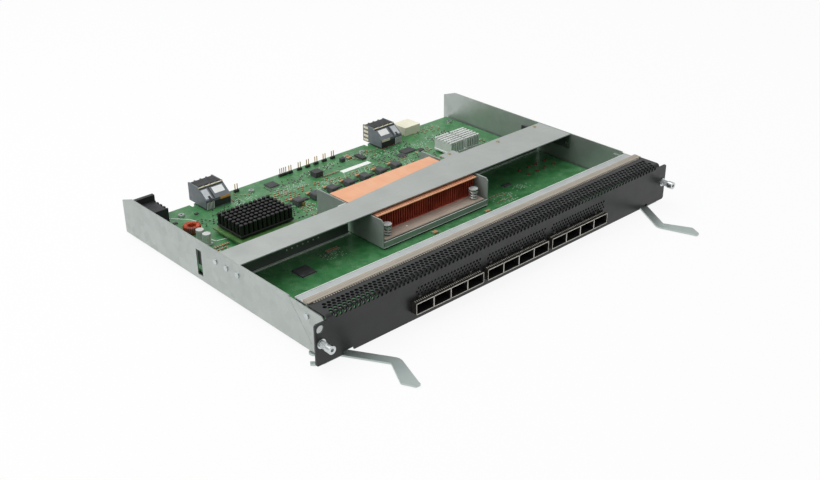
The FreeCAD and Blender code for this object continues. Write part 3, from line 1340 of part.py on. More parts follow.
OVAL_PARTS = [(x, depth) for x in (152.0, 166.0, 177.0, 192.0) for depth in (119.0, 131.5)]

# Pin headers, in the same steps: left edge, width, middle behind the panel's face, and pins
HEADERS = [(-39.0, 10.0, 291.0, 4), (-27.5, 5.4, 291.0, 2), (-15.4, 5.4, 291.0, 2),
           (-4.5, 5.4, 291.0, 2), (6.6, 5.4, 291.0, 2), (17.7, 5.4, 291.0, 2),
           (29.0, 5.4, 291.0, 2), (-94.7, 5.4, 290.8, 2)]


def laid_out(x, depth, wide, deep, tall):
    """A row of such a table, as the rules for lump()."""
    return ("(%s) * step_x" % x, "%s * step_y" % depth, "%s * step_x" % wide,
            "%s * step_y" % deep, "%s * step_x" % tall)


def boxes_on_board(label, name, table):
    pieces = [lump("%s_%d" % (name, number), *laid_out(*row))
              for number, row in enumerate(table)]
    return node(label, group(name + "_set", pieces))


def round_capacitors():
    """Upright cans, each on a square foot."""
    pieces = []
    x = "-176 * step_x"
    for number, depth in enumerate(("226 * step_y", "215 * step_y")):
        foot = lump("can_%d_foot" % number, x, depth, "2 * can_radius", "2 * can_radius",
                    "can_foot")
        can = prism("can_%d_body" % number, RING_SIDES, "can_radius * 0.96", "can_tall",
                    (x, behind(depth), "board_top + can_foot"))
        pieces.append(join("can_%d" % number, [foot, can]))
    return node("input_capacitors", group("can_set", pieces))


def chip_capacitors():
    """Flat capacitors: loose ones, one behind each coil, and the oval ones."""
    pieces = [lump("capacitor_%d" % number, *laid_out(*row))
              for number, row in enumerate(CAPACITOR_BLOCKS)]
    for number in range(int(now.coil_count)):
        x = "coil_first + coil_wide / 2 + %d * coil_pitch" % number
        pieces.append(lump("phase_capacitor_%d" % number, x, "coil_front + phase_behind",
                           "phase_wide", "phase_deep", "phase_tall"))
    for number, (x, depth) in enumerate(OVAL_PARTS):
        pieces.append(lump("oval_part_%d" % number, *laid_out(x, depth, 5.0, 2.6, 1.4)))
    return node("chip_capacitors", group("capacitor_set", pieces))


def coils_and_stages():
    """One moulded coil and one power stage for each phase."""
    coils = []
    stages = []
    for number in range(int(now.coil_count)):
        left = "coil_first + %d * coil_pitch" % number
        coils.append(block("coil_%d" % number, (left, behind("coil_front"), "board_top"),
                           (left + " + coil_wide", behind("coil_front + coil_deep"),
                            "board_top + coil_tall")))
        stages.append(lump("stage_%d" % number, left + " - stage_wide / 2 - stage_gap",
                           "coil_front + coil_deep", "stage_wide", "stage_wide", "stage_tall"))
    node("inductors", group("coil_set", coils))
    return node("power_stages", group("stage_set", stages))


def headers():
    """Pin headers near the rear edge: black bodies and square pins."""
    bodies = []
    pins = []
    for number, (left, wide, depth, count) in enumerate(HEADERS):
        middle = "(%s) * step_x" % (left + wide / 2)
        behind_face = "%s * step_y" % depth
        bodies.append(lump("header_%d" % number, middle, behind_face, "%s * step_x" % wide,
                           "header_deep", "header_tall"))
        for pin in range(count):
            x = "(%s) * step_x" % (left + wide * (pin + 0.5) / count)
            pins.append(lump("header_pin_%d_%d" % (number, pin), x, behind_face, "header_pin",
                             "header_pin", "header_reach", "board_top + header_tall"))
    node("pin_headers", group("header_set", bodies))
    return node("header_pins", group("header_pin_set", pins))


chassis_tray()
for side, sign in SIDES:
    front_bracket(side, sign)
front_panel()
gasket_carrier()
foam_gasket()
cross_beam()
beam_rivets()
beam_screws()
bracket_screws()
circuit_board()
board_standoffs()
board_screws()
switch_chip()
heat_sink_base()
copper_fin_stack()
copper_lid()
heat_sink_shroud()
sink_spacers()
sink_spring_screws()
sink_springs()
for number, word in enumerate(("left", "middle", "right")):
    port_cage(number, word + "_port_cage")
port_connectors()
status_lights()
rear_connector("left", "left_connector", "left_connector + left_connector_wide")
rear_connector("right", "right_connector", "right_connector + right_connector_wide")
guide_block()
power_connector()
power_brick()
silver_heat_sink()
toroid()
boxes_on_board("control_chips", "chip", CHIPS)
round_capacitors()
chip_capacitors()
coils_and_stages()
headers()
for side, sign in SIDES:
    ejector_lever(side, sign)
    lever_rivet(side, sign)
    captive_bush(side, sign)
    captive_screw(side, sign)
    captive_spring(side, sign)
    retaining_ring(side, sign)

doc.recompute()

for item in doc.Objects:
    faults = {"Invalid", "Error"} & set(item.State)
    if faults:
        raise RuntimeError("%s is %s" % (item.Name, sorted(faults)))
for piece in NODES:
    shape = piece.Shape
    if shape.isNull() or not shape.isValid() or not shape.Solids:
        raise RuntimeError("%s has no sound shape" % piece.Label)

os.makedirs("parts", exist_ok=True)
for piece in NODES:
    piece.Shape.exportStep(os.path.join("parts", piece.Label + ".step"))
    print("%-32s %3d solids %9.1f mm3" % (piece.Label, len(piece.Shape.Solids),
                                          piece.Shape.Volume))
print("%d sub-parts" % len(NODES))
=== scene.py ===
"""Dresses the switch line card: a finish for every solid, and the pieces that are
finer than its solids: punched panel, gasket, springs, windings and board parts.

Lengths here are in millimetres, and MM turns them to metres.
X runs to the right of the panel, Y to the rear and Z up.
"""

import json
import math

import bmesh
import bpy
from mathutils import Matrix, Vector


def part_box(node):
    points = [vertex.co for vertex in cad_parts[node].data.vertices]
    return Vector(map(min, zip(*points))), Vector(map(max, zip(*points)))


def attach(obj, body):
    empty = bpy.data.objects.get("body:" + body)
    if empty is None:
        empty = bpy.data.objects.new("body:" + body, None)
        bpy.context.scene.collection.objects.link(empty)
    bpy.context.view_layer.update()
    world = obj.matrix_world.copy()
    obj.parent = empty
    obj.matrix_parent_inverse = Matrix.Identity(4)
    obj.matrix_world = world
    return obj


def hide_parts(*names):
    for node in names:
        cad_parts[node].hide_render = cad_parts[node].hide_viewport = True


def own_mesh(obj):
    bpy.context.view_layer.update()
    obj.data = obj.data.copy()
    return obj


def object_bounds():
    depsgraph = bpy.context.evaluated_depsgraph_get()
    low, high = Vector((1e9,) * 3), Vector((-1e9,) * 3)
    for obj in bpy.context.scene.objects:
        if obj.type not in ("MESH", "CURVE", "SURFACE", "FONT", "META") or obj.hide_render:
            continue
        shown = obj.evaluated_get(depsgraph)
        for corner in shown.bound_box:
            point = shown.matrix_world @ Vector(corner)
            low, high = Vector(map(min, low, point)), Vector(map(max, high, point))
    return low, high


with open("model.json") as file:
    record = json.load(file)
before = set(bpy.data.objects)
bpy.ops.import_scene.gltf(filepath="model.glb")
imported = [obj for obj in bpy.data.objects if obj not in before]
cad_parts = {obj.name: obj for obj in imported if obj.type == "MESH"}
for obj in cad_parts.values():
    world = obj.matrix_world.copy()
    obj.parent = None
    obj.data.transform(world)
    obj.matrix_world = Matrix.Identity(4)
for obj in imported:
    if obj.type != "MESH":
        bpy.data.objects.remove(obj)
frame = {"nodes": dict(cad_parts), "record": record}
cad_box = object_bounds()
scene = bpy.context.scene
NODES = frame["nodes"]
BODY_OF = {node: body for body, nodes in frame["record"]["behaviour"]["bodies"].items()
           for node in nodes}
MM = 0.001
QUARTER_TURN = math.pi / 2
SIDES = (-1, 1)


# ---- shader helpers

def paint(code):
    """The linear colour of an sRGB hex code."""
    parts = [int(code[i:i + 2], 16) / 255 for i in (1, 3, 5)]
    return [p / 12.92 if p <= 0.04045 else ((p + 0.055) / 1.055) ** 2.4 for p in parts] + [1.0]


def fill(tree, node, sockets):
    """Fills or links a node's inputs. A node given as a value is its first output."""
    for key, value in sockets.items():
        if isinstance(value, bpy.types.Node):
            value = value.outputs[0]
        if isinstance(value, bpy.types.NodeSocket):
            tree.links.new(value, node.inputs[key])
        else:
            node.inputs[key].default_value = value
    return node


def add(tree, kind, sockets=None, **settings):
    """Adds a node with those settings and inputs."""
    made = tree.nodes.new(kind)
    for name, value in settings.items():
        setattr(made, name, value)
    return fill(tree, made, sockets or {})


def maths(tree, operation, first, second):
    return add(tree, "ShaderNodeMath", {0: first, 1: second}, operation=operation)


def ramp(tree, value, low, high, start=0.0, end=1.0):
    """The value, held between low and high and brought to run from start to end."""
    return add(tree, "ShaderNodeMapRange",
               {"Value": value, "From Min": low, "From Max": high, "To Min": start,
                "To Max": end})


class Finish:
    """A material under construction: its tree, its shader and its colour so far."""

    def __init__(self, name, colour, roughness, metallic=0.0, values=None):
        self.material = bpy.data.materials.new(name)
        self.material.use_nodes = True
        self.tree = self.material.node_tree
        self.shader = self.tree.nodes["Principled BSDF"]
        self.colour = paint(colour)
        self.set({"Base Color": self.colour, "Roughness": roughness, "Metallic": metallic,
                  **(values or {})})
        self.at = add(self.tree, "ShaderNodeTexCoord").outputs["Object"]
        self.relief = None

    def set(self, sockets):
        fill(self.tree, self.shader, sockets)

    def along(self, stretch=(1, 1, 1), turn=0.0):
        """Object coordinates, turned about Z, drawn out along an axis where stretch is over 1."""
        return add(self.tree, "ShaderNodeMapping",
                   {"Vector": self.at, "Rotation": (0, 0, turn),
                    "Scale": [1 / s for s in stretch]})

    def cloud(self, size, at=None, detail=3.0, low=0.35, high=0.65):
        """A soft pattern from 0 to 1 with patches of that size in mm."""
        noise = add(self.tree, "ShaderNodeTexNoise",
                    {"Vector": at or self.at, "Scale": 1 / (size * MM), "Detail": detail})
        return ramp(self.tree, noise, low, high)

    def both(self, first, second, operation="MULTIPLY"):
        return maths(self.tree, operation, first, second)

    def over(self, mask, colour, share=1.0):
        """Lays another colour over the surface where the mask is 1."""
        if share < 1.0:
            mask = self.both(mask, share)
        self.colour = add(self.tree, "ShaderNodeMix",
                          {0: mask, 6: self.colour, 7: paint(colour)},
                          data_type="RGBA").outputs[2]
        self.set({"Base Color": self.colour})

    def gloss(self, mask, low, high):
        """Roughness that wanders between two values with the mask."""
        self.set({"Roughness": ramp(self.tree, mask, 0.0, 1.0, low, high)})

    def raise_by(self, height, depth):
        """Relief depth mm deep, on top of the relief so far."""
        sockets = {"Height": height, "Distance": depth * MM, "Strength": 1.0}
        if self.relief:
            sockets["Normal"] = self.relief
        self.relief = add(self.tree, "ShaderNodeBump", sockets)
        self.set({"Normal": self.relief})


# ---- finishes

def galvanised_sheet(name, light, dark, metallic=0.75, shade_below=None):
    """Zinc-coated sheet: faint spangle, rolling lines and a few dull smears."""
    made = Finish(name, light, 0.42, metallic)
    flakes = add(made.tree, "ShaderNodeTexVoronoi", {"Vector": made.at, "Scale": 1 / (7 * MM)})
    grey = add(made.tree, "ShaderNodeSeparateColor", {0: flakes.outputs["Color"]})
    made.over(grey, dark, 0.35)
    made.over(made.cloud(38), dark, 0.5)
    rolled = made.cloud(0.9, made.along((70, 1, 1)))
    made.over(rolled, "#d3d8d5", 0.12)
    if shade_below:
        # Painted shade: below that height the folded-down webs are darkened, as if in the shadow
        # of the beam's top.
        height = add(made.tree, "ShaderNodeSeparateXYZ", {0: made.at}).outputs[2]
        web = ramp(made.tree, height, shade_below * MM, (shade_below - 0.4) * MM)
        made.over(web, "#606864", 0.85)
    made.gloss(made.both(grey, made.cloud(24)), 0.34, 0.52)
    made.raise_by(rolled, 0.006)
    return made.material


def coated(name, colour, other, shader, layers, relief, gloss=None):
    """Clouds of another colour, roughness that wanders, and a fine relief.

    shader: roughness, metallic and other inputs; layers: (size, share) of each cloud;
    relief: (size, depth); gloss: (size, lowest, highest roughness).
    """
    made = Finish(name, colour, *shader)
    for size, share in layers:
        made.over(made.cloud(size), other, share)
    if gloss:
        made.gloss(made.cloud(gloss[0]), *gloss[1:])
    made.raise_by(made.cloud(relief[0]), relief[1])
    return made.material


def zinc_plated(name, colour, worn, roughness, grain, metallic=1.0):
    """Blue-white zinc plate on turned or pressed steel, cloudy, with small dull spots."""
    return coated(name, colour, worn, (roughness, metallic), [(grain * 6, 0.4)],
                  (grain * 0.4, 0.0015), (grain * 3, roughness, roughness + 0.08))


def moulded(name, colour, pale, roughness=0.5):
    """Glass-filled plastic from a spark-eroded mould: matt, fine grained, slightly mottled."""
    return coated(name, colour, pale, (roughness,), [(9, 0.4), (0.5, 0.18)], (0.5, 0.012),
                  (5, roughness - 0.06, roughness + 0.1))


def enamelled(name, colour, dark):
    """Copper wire under orange enamel: glossy, darker where it was bent."""
    return coated(name, colour, dark, (0.28, 0.35, {"Coat Weight": 0.5}), [(2.4, 0.6)],
                  (0.3, 0.01), (1.1, 0.22, 0.36))


def chip_epoxy(name, colour, pale):
    """Moulded epoxy or ceramic: matt, with a dusty, faintly pitted top."""
    return coated(name, colour, pale, (0.62,), [(3.2, 0.5), (0.35, 0.25)], (0.3, 0.02),
                  (1.6, 0.55, 0.72))


def printed_film(name, colour, grey):
    """A blank paper or film label, or printed ink, faintly uneven."""
    return coated(name, colour, grey, (0.5,), [(4, 0.3)], (0.5, 0.004))


def powder_coat(name, colour, pale):
    """Charcoal powder coat: a fine orange peel with a half gloss."""
    made = Finish(name, colour, 0.34, 0.0, {"Specular IOR Level": 0.4})
    made.over(made.cloud(30), pale, 0.35)
    # The real peel is about 0.3 mm; 0.9 mm still shows in the picture.
    peel = made.cloud(0.9, detail=2.0)
    made.over(peel, pale, 0.16)
    made.gloss(made.cloud(12), 0.3, 0.4)
    made.raise_by(peel, 0.012)
    return made.material


def bare_metal(name, colour, other, roughness, stretch, line, metallic=1.0, depth=0.006):
    """Rolled or extruded metal with its lines drawn out one way and a cloudy oxide."""
    made = Finish(name, colour, roughness, metallic)
    lines = made.cloud(line, made.along(stretch))
    made.over(made.cloud(16), other, 0.6)
    made.over(lines, other, 0.35)
    made.gloss(lines, roughness - 0.05, roughness + 0.12)
    made.raise_by(lines, depth)
    return made.material


def solder_mask(name, colour, pale, deep):
    """Green solder mask over laminate: tracks, vias, pads and bare white outlines."""
    made = Finish(name, colour, 0.38, 0.0, {"Specular IOR Level": 0.55, "Coat Weight": 0.15})
    made.over(made.cloud(45), deep, 0.55)
    made.over(made.cloud(14), pale, 0.35)
    # Tracks are 0.2 mm wide in the real board; bundles at 1.1 mm are what shows.
    for turn, size in ((0.0, 1.1), (math.pi / 2, 1.3), (math.pi / 4, 1.2)):
        bands = add(made.tree, "ShaderNodeTexWave",
                    {"Vector": made.along(turn=turn), "Scale": 0.3 / (size * MM),
                     "Distortion": 0.0, "Detail": 0.0})
        patch = made.cloud(11, made.along(turn=turn + 0.3), 1.0, 0.52, 0.56)
        made.over(made.both(bands, patch), pale, 0.5)
    vias = add(made.tree, "ShaderNodeTexVoronoi",
               {"Vector": made.at, "Scale": 1 / (2.3 * MM), "Randomness": 0.7})
    pads = ramp(made.tree, vias.outputs["Distance"], 0.2, 0.12)
    dots = made.both(pads, made.cloud(13, None, 1.0, 0.5, 0.54))
    made.over(dots, "#9fae8c", 0.75)
    outline = add(made.tree, "ShaderNodeTexBrick",
                  {"Vector": made.at, "Scale": 1.0, "Mortar Size": 0.16 * MM,
                   "Mortar Smooth": 0.2, "Brick Width": 3.1 * MM, "Row Height": 1.7 * MM})
    flecks = made.both(outline.outputs["Fac"], made.cloud(4.5, None, 2.0, 0.55, 0.6))
    flecks = made.both(flecks, made.cloud(26, None, 1.0, 0.46, 0.54))
    made.over(flecks, "#c4d0bd", 0.3)
    made.raise_by(made.both(dots, flecks, "ADD"), 0.02)
    made.gloss(made.cloud(7), 0.3, 0.46)
    return made.material


def conductive_weave(name, colour, dark):
    """Plated ripstop cloth round a foam core; its threads are drawn at 1 mm to show."""
    made = Finish(name, colour, 0.72, 0.0, {"Sheen Weight": 0.2})
    weave = made.both(*(
        add(made.tree, "ShaderNodeTexWave",
            {"Vector": made.at, "Scale": 0.32 / (1.0 * MM), "Distortion": 0.6, "Detail": 1.0},
            bands_direction=axis) for axis in "XY"))
    pleats = add(made.tree, "ShaderNodeTexWave",
                 {"Vector": made.at, "Scale": 0.314 / (1.9 * MM)}, bands_direction="X")
    made.over(pleats, dark, 0.45)
    made.raise_by(pleats, 0.12)
    made.over(weave, dark, 0.35)
    made.over(made.cloud(18), dark, 0.3)
    # Painted highlight: a pale band along the rear edge, where the rounded cloth catches the
    # light.
    rear = add(made.tree, "ShaderNodeSeparateXYZ", {0: made.at}).outputs[1]
    made.over(ramp(made.tree, rear, -120.3 * MM, -119.5 * MM), "#eceae2", 0.8)
    made.raise_by(weave, 0.06)
    return made.material


STEEL = galvanised_sheet("galvanised_steel_sheet", "#b3bab6", "#9ea6a2")
# Painted shade darkens the beam's webs below its top sheet.
BEAM_STEEL = galvanised_sheet("galvanised_steel_beam", "#c2c7c4", "#b2b9b5", shade_below=40.9)
SHROUD_STEEL = galvanised_sheet("galvanised_steel_shroud", "#a9b2ad", "#8b9591", 0.45)
CARRIER_STEEL = bare_metal("zinc_coated_strip", "#bfc4c4", "#a9b0b0", 0.4, (60, 1, 1), 0.8, 0.5)
LEVER_STEEL = zinc_plated("blue_zinc_plated_lever", "#bdc9c6", "#a9b6b3", 0.28, 5.0, 0.65)
SCREW_STEEL = zinc_plated("bright_zinc_screw", "#c9cfd0", "#9ba4a6", 0.25, 0.8)
SINK_SCREW = zinc_plated("polished_zinc_screw", "#e6eaea", "#b4babc", 0.22, 0.8, 0.4)
CAPTIVE_STEEL = zinc_plated("nickel_plated_screw", "#d2d6d6", "#a7adae", 0.2, 0.8)
BRASS_RING = zinc_plated("yellow_passivated_rivet", "#c2b183", "#9d8c60", 0.35, 0.6)
SPRING_WIRE = bare_metal("drawn_spring_wire", "#e0e4e4", "#aeb5b6", 0.2, (1, 1, 6), 0.3, 0.6)
# Painted shade: the port cages' plated steel, darkened as if the cages stood in shade.
CAGE_STEEL = bare_metal("cage_steel_painted_shade", "#4a4843", "#35332f", 0.4, (1, 20, 1), 0.6, 0.6)
RIM_STEEL = bare_metal("tin_plated_rim", "#e2dfd5", "#c3bfb3", 0.35, (20, 1, 1), 0.6, 0.35)
# Black for the port connectors and the screw rings, and painted shade in the port mouths and the
# shroud's gaps.
PORT_BLACK = chip_epoxy("black_plastic_and_painted_shade", "#0e0e0e", "#151514")
PANEL_PAINT = powder_coat("charcoal_powder_coat", "#262728", "#313334")
GASKET = conductive_weave("beige_conductive_cloth", "#aaa294", "#857d72")
BOARD = solder_mask("green_solder_mask", "#30743f", "#55915d", "#215a2e")
BRICK_BOARD = solder_mask("thick_green_laminate", "#3a6a34", "#5f8648", "#2b5426")
BLACK_PLASTIC = moulded("black_moulded_nylon", "#1f2021", "#37393b")
CONNECTOR = moulded("slate_moulded_polymer", "#5b6267", "#747c81", 0.46)
GUIDE = moulded("cream_moulded_polymer", "#efecd6", "#d8d4bb")
BASE_METAL = bare_metal("nickel_plated_base", "#d2c4b5", "#b9aa9c", 0.42, (20, 1, 1), 0.7, 0.35)
FIN_COPPER = bare_metal("oxidised_copper_fin", "#e06d55", "#8c3526", 0.4, (1, 1, 14), 0.6, 0.45)
LID_COPPER = bare_metal("fresh_copper_sheet", "#f9c39f", "#efac82", 0.42, (1, 45, 1), 0.7, 0.55)
BLACK_ANODISED = bare_metal("black_anodised_aluminium", "#0a0b0b", "#141515", 0.3, (1, 1, 8),
                            0.4, 0.1, 0.001)
ALUMINIUM = bare_metal("milled_aluminium", "#e6eae7", "#cdd2ce", 0.42, (1, 12, 1), 0.5, 0.4)
CAN = bare_metal("drawn_aluminium_can", "#e3e5e3", "#bcbfbd", 0.3, (1, 1, 10), 0.5, 0.45)
FERRITE = chip_epoxy("grey_ferrite", "#3c3f40", "#5a5d5c")
WIRE = enamelled("orange_enamelled_wire", "#d4572b", "#8e2f14")
TAN = chip_epoxy("tan_ceramic", "#a67b4c", "#c2986a")
# Near-white, barely metallic zinc: the tails and rivet, and a painted highlight on the edges and
# strips that catch the light.
PALE_ZINC_AND_HIGHLIGHT = bare_metal("pale_zinc_and_painted_highlight", "#f1f4f2", "#d9dedb", 0.4, (60, 1, 1), 0.6, 0.1)
TIN = bare_metal("tinned_pad", "#c9cbc6", "#a3a49c", 0.32, (1, 1, 1), 0.4, 0.9)
GOLD = bare_metal("gold_flashed_pin", "#d9b66a", "#b08f4c", 0.3, (1, 1, 6), 0.4)
CHIP = chip_epoxy("chip_epoxy", "#2e3031", "#4c4f50")
LIGHT = moulded("unlit_light_pipe", "#6f706c", "#565753", 0.25)
LABEL = printed_film("blank_white_label", "#eceeec", "#d8dbd9")
INK = printed_film("white_board_ink", "#d3ddd5", "#b7c4ba")
LATCH = moulded("pale_grey_latch", "#c6cbcf", "#a4abb0", 0.35)
CREAM = moulded("cream_contact_carrier", "#e2dcc2", "#c9c2a4")
FILM = printed_film("amber_film", "#e0a05a", "#c98a48")
FOOT = chip_epoxy("red_brown_contact_foot", "#6e3227", "#8a4a3b")

WEARS = [
    (STEEL, "chassis_tray left_front_bracket right_front_bracket"),
    (BEAM_STEEL, "cross_beam"),
    (SHROUD_STEEL, "heat_sink_shroud"),
    (CARRIER_STEEL, "gasket_carrier"),
    (LEVER_STEEL, "left_lever right_lever"),
    (SCREW_STEEL, "board_standoffs board_screws beam_screws bracket_screws sink_spacers "
                  "left_lever_rivet right_lever_rivet brick_pins"),
    (BRASS_RING, "beam_rivets"),
    (SINK_SCREW, "sink_spring_screws"),
    (CAPTIVE_STEEL, "left_captive_screw right_captive_screw left_captive_bush "
                    "right_captive_bush"),
    (SPRING_WIRE, "left_retaining_ring right_retaining_ring sink_springs "
                  "left_captive_spring right_captive_spring"),
    (CAGE_STEEL, "left_port_cage middle_port_cage right_port_cage"),
    (PORT_BLACK, "port_connectors"),
    (PANEL_PAINT, "front_panel"),
    (GASKET, "foam_gasket"),
    (BOARD, "circuit_board"),
    (BRICK_BOARD, "brick_board"),
    (BLACK_PLASTIC, "power_connector pin_headers rear_connector_left_contacts "
                    "rear_connector_right_contacts"),
    (CONNECTOR, "rear_connector_left_housing rear_connector_right_housing"),
    (GUIDE, "guide_block"),
    (BASE_METAL, "heat_sink_base"),
    (FIN_COPPER, "copper_fin_stack"),
    (LID_COPPER, "copper_lid"),
    (BLACK_ANODISED, "pin_fin_heat_sink"),
    (ALUMINIUM, "silver_heat_sink"),
    (CAN, "input_capacitors"),
    (FERRITE, "inductors toroid_core brick_core"),
    (WIRE, "toroid_winding"),
    (TAN, "chip_capacitors"),
    (GOLD, "header_pins"),
    (CHIP, "switch_chip control_chips power_stages silver_sink_chip"),
    (LIGHT, "status_lights"),
]
for material, names in WEARS:
    for name in names.split():
        for slot in NODES[name].material_slots:
            slot.material = material


# ---- piece helpers

def placed(name, data):
    """A new object in the scene."""
    made = bpy.data.objects.new(name, data)
    scene.collection.objects.link(made)
    return made


def mesh_of(name, work):
    mesh = bpy.data.meshes.new(name)
    work.to_mesh(mesh)
    work.free()
    return mesh


def together(name, meshes):
    work = bmesh.new()
    for mesh in meshes:
        work.from_mesh(mesh)
    return mesh_of(name, work)


def show(name, meshes, material, body="frame", stands_for=(), smooth=False):
    """A new piece of the object, from a mesh or a list of them, riding on its body."""
    mesh = together(name, meshes) if isinstance(meshes, list) else meshes
    if smooth:
        mesh.shade_smooth()
    piece = placed(name, mesh)
    mesh.materials.clear()
    mesh.materials.append(material)
    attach(piece, body)
    if stands_for:
        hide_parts(*stands_for)
    return piece


def shifted(mesh, x, y=0.0, z=0.0):
    mesh.transform(Matrix.Translation((x * MM, y * MM, z * MM)))
    return mesh


def box(size, chamfer, at=(0, 0, 0)):
    """A box with its edges broken; at is the middle of its lower face."""
    wide, deep, tall = size
    work = bmesh.new()
    bmesh.ops.create_cube(work, size=1.0, matrix=Matrix.Translation((0, 0, tall / 2 * MM))
                          @ Matrix.Diagonal((wide * MM, deep * MM, tall * MM, 1)))
    bmesh.ops.bevel(work, geom=work.edges[:], offset=chamfer * MM, segments=1, affect="EDGES")
    return shifted(mesh_of("box", work), *at)


def prism(sides, radius, length):
    """A punch: a prism along Z, its middle at the origin."""
    work = bmesh.new()
    bmesh.ops.create_cone(work, cap_ends=True, segments=sides, radius1=radius * MM,
                          radius2=radius * MM, depth=length * MM)
    return mesh_of("prism", work)


def round_pin(radius, tall, chamfer):
    """An upright pin with a chamfered tip, its foot at height 0."""
    work = bmesh.new()
    bmesh.ops.create_cone(work, cap_ends=True, segments=12, radius1=radius * MM,
                          radius2=radius * MM, depth=tall * MM,
                          matrix=Matrix.Translation((0, 0, tall / 2 * MM)))
    rim = [edge for edge in work.edges
           if all(vertex.co.z > (tall - 0.01) * MM for vertex in edge.verts)]
    bmesh.ops.bevel(work, geom=rim, offset=chamfer * MM, segments=1, affect="EDGES")
    return mesh_of("round_pin", work)


def skin(work, rings, closed=False):
    """Joins rings of vertices, each to the next, and the last to the first if closed."""
    for first, second in zip(rings, rings[1:] + (rings[:1] if closed else [])):
        for i in range(len(first)):
            j = (i + 1) % len(first)
            work.faces.new((first[i], first[j], second[j], second[i]))


def merged(name):
    """The closed shells of a CAD node, whose triangles are loose."""
    work = bmesh.new()
    work.from_mesh(NODES[name].data)
    bmesh.ops.remove_doubles(work, verts=work.verts[:], dist=0.002 * MM)
    return work


def box_of(name):
    """Lowest and highest corner of a CAD node, in mm."""
    return tuple(Vector(corner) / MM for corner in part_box(name))


def centre(low, high):
    """The middle between two corners, seen from above."""
    return (low.x + high.x) / 2, (low.y + high.y) / 2


def solids_of(name):
    """(lowest, highest) corner of each separate solid of a CAD node, in mm."""
    work = merged(name)
    left = set(work.verts)
    found = []
    while left:
        first = left.pop()
        reach, todo = [first], [first]
        while todo:
            for edge in todo.pop().link_edges:
                for vertex in edge.verts:
                    if vertex in left:
                        left.remove(vertex)
                        reach.append(vertex)
                        todo.append(vertex)
        found.append([Vector([pick(v.co[i] for v in reach) for i in range(3)]) / MM
                      for pick in (min, max)])
    work.free()
    return sorted(found, key=lambda b: (round(b[0].x, 2), round(b[0].y, 2)))


def evaluated(holder, *spent):
    """What an object's modifiers make of it, as a plain mesh. The objects go."""
    bpy.context.view_layer.update()
    done = bpy.data.meshes.new_from_object(
        holder.evaluated_get(bpy.context.evaluated_depsgraph_get()))
    for thing in (holder, *spent):
        bpy.data.objects.remove(thing)
    return done


def modified(name, kind, *spent, **settings):
    """A closed copy of a CAD node after one modifier."""
    holder = placed("holder", mesh_of(name + "_copy", merged(name)))
    modifier = holder.modifiers.new(kind.lower(), kind)
    for key, value in settings.items():
        setattr(modifier, key, value)
    return evaluated(holder, *spent)


# ---- node trees

def start_tree(name, inputs):
    tree = bpy.data.node_groups.new(name, "GeometryNodeTree")
    for label, kind in inputs.items():
        tree.interface.new_socket(label, in_out="INPUT", socket_type="NodeSocket" + kind)
    tree.interface.new_socket("Geometry", in_out="OUTPUT", socket_type="NodeSocketGeometry")
    return tree, add(tree, "NodeGroupInput").outputs


def end_tree(tree, geometry, place, material):
    """Puts the geometry in its place: Realize Instances, Set Material, then the output."""
    moved = add(tree, "GeometryNodeTransform", {"Geometry": geometry, **place})
    real = add(tree, "GeometryNodeRealizeInstances", {"Geometry": moved})
    named = add(tree, "GeometryNodeSetMaterial", {"Geometry": real, "Material": material})
    add(tree, "NodeGroupOutput", {"Geometry": named})
    return tree


def copies(tree, points, pattern, **sockets):
    """A copy of the pattern on every point."""
    info = add(tree, "GeometryNodeObjectInfo", {"Object": pattern})
    return add(tree, "GeometryNodeInstanceOnPoints",
               {"Points": points, "Instance": info.outputs["Geometry"], **sockets})


def rows_tree():
    """Copies of a pattern in rows, every second row shifted, some left out."""
    tree, given = start_tree("copies_in_rows", {
        "Pattern": "Object", "Columns": "Int", "Rows": "Int", "Pitch": "Float",
        "Row pitch": "Float", "Shift": "Float", "Left out": "Float", "Seed": "Int",
        "Tilt": "Vector", "Middle": "Vector", "Material": "Material"})
    wide, deep = (maths(tree, "MULTIPLY", maths(tree, "SUBTRACT", given[count], 1.0),
                        given[pitch])
                  for count, pitch in (("Columns", "Pitch"), ("Rows", "Row pitch")))
    grid = add(tree, "GeometryNodeMeshGrid", {
        "Size X": wide, "Size Y": deep, "Vertices X": given["Columns"],
        "Vertices Y": given["Rows"]})
    place = add(tree, "GeometryNodeInputPosition")
    y = add(tree, "ShaderNodeSeparateXYZ", {0: place}).outputs[1]
    # 100 keeps the row's number above 0, and 0.25 keeps it off the whole numbers.
    line = maths(tree, "ADD", maths(tree, "DIVIDE", y, given["Row pitch"]), 100.25)
    odd = maths(tree, "GREATER_THAN", maths(tree, "MODULO", line, 2.0), 1.0)
    move = add(tree, "ShaderNodeCombineXYZ", {0: maths(tree, "MULTIPLY", odd, given["Shift"])})
    points = add(tree, "GeometryNodeSetPosition", {"Geometry": grid, "Offset": move})
    chance = add(tree, "FunctionNodeRandomValue", {"Seed": given["Seed"]}, data_type="FLOAT")
    kept = add(tree, "FunctionNodeCompare", {0: chance.outputs[1], 1: given["Left out"]},
               data_type="FLOAT", operation="GREATER_EQUAL")
    rows = copies(tree, points, given["Pattern"], Selection=kept)
    return end_tree(tree, rows, {"Rotation": given["Tilt"], "Translation": given["Middle"]},
                    given["Material"])


def coil_tree():
    """A wire coiled along Z from its lower end."""
    tree, given = start_tree("coiled_wire", {
        "Turns": "Float", "Radius": "Float", "Length": "Float", "Wire radius": "Float",
        "Tilt": "Vector", "Start": "Vector", "Material": "Material"})
    line = add(tree, "GeometryNodeCurveSpiral", {
        "Resolution": 20, "Rotations": given["Turns"], "Start Radius": given["Radius"],
        "End Radius": given["Radius"], "Height": given["Length"]})
    section = add(tree, "GeometryNodeCurvePrimitiveCircle",
                  {"Resolution": 8, "Radius": given["Wire radius"]})
    wire = add(tree, "GeometryNodeCurveToMesh",
               {"Curve": line, "Profile Curve": section, "Fill Caps": True})
    return end_tree(tree, wire, {"Rotation": given["Tilt"], "Translation": given["Start"]},
                    given["Material"])


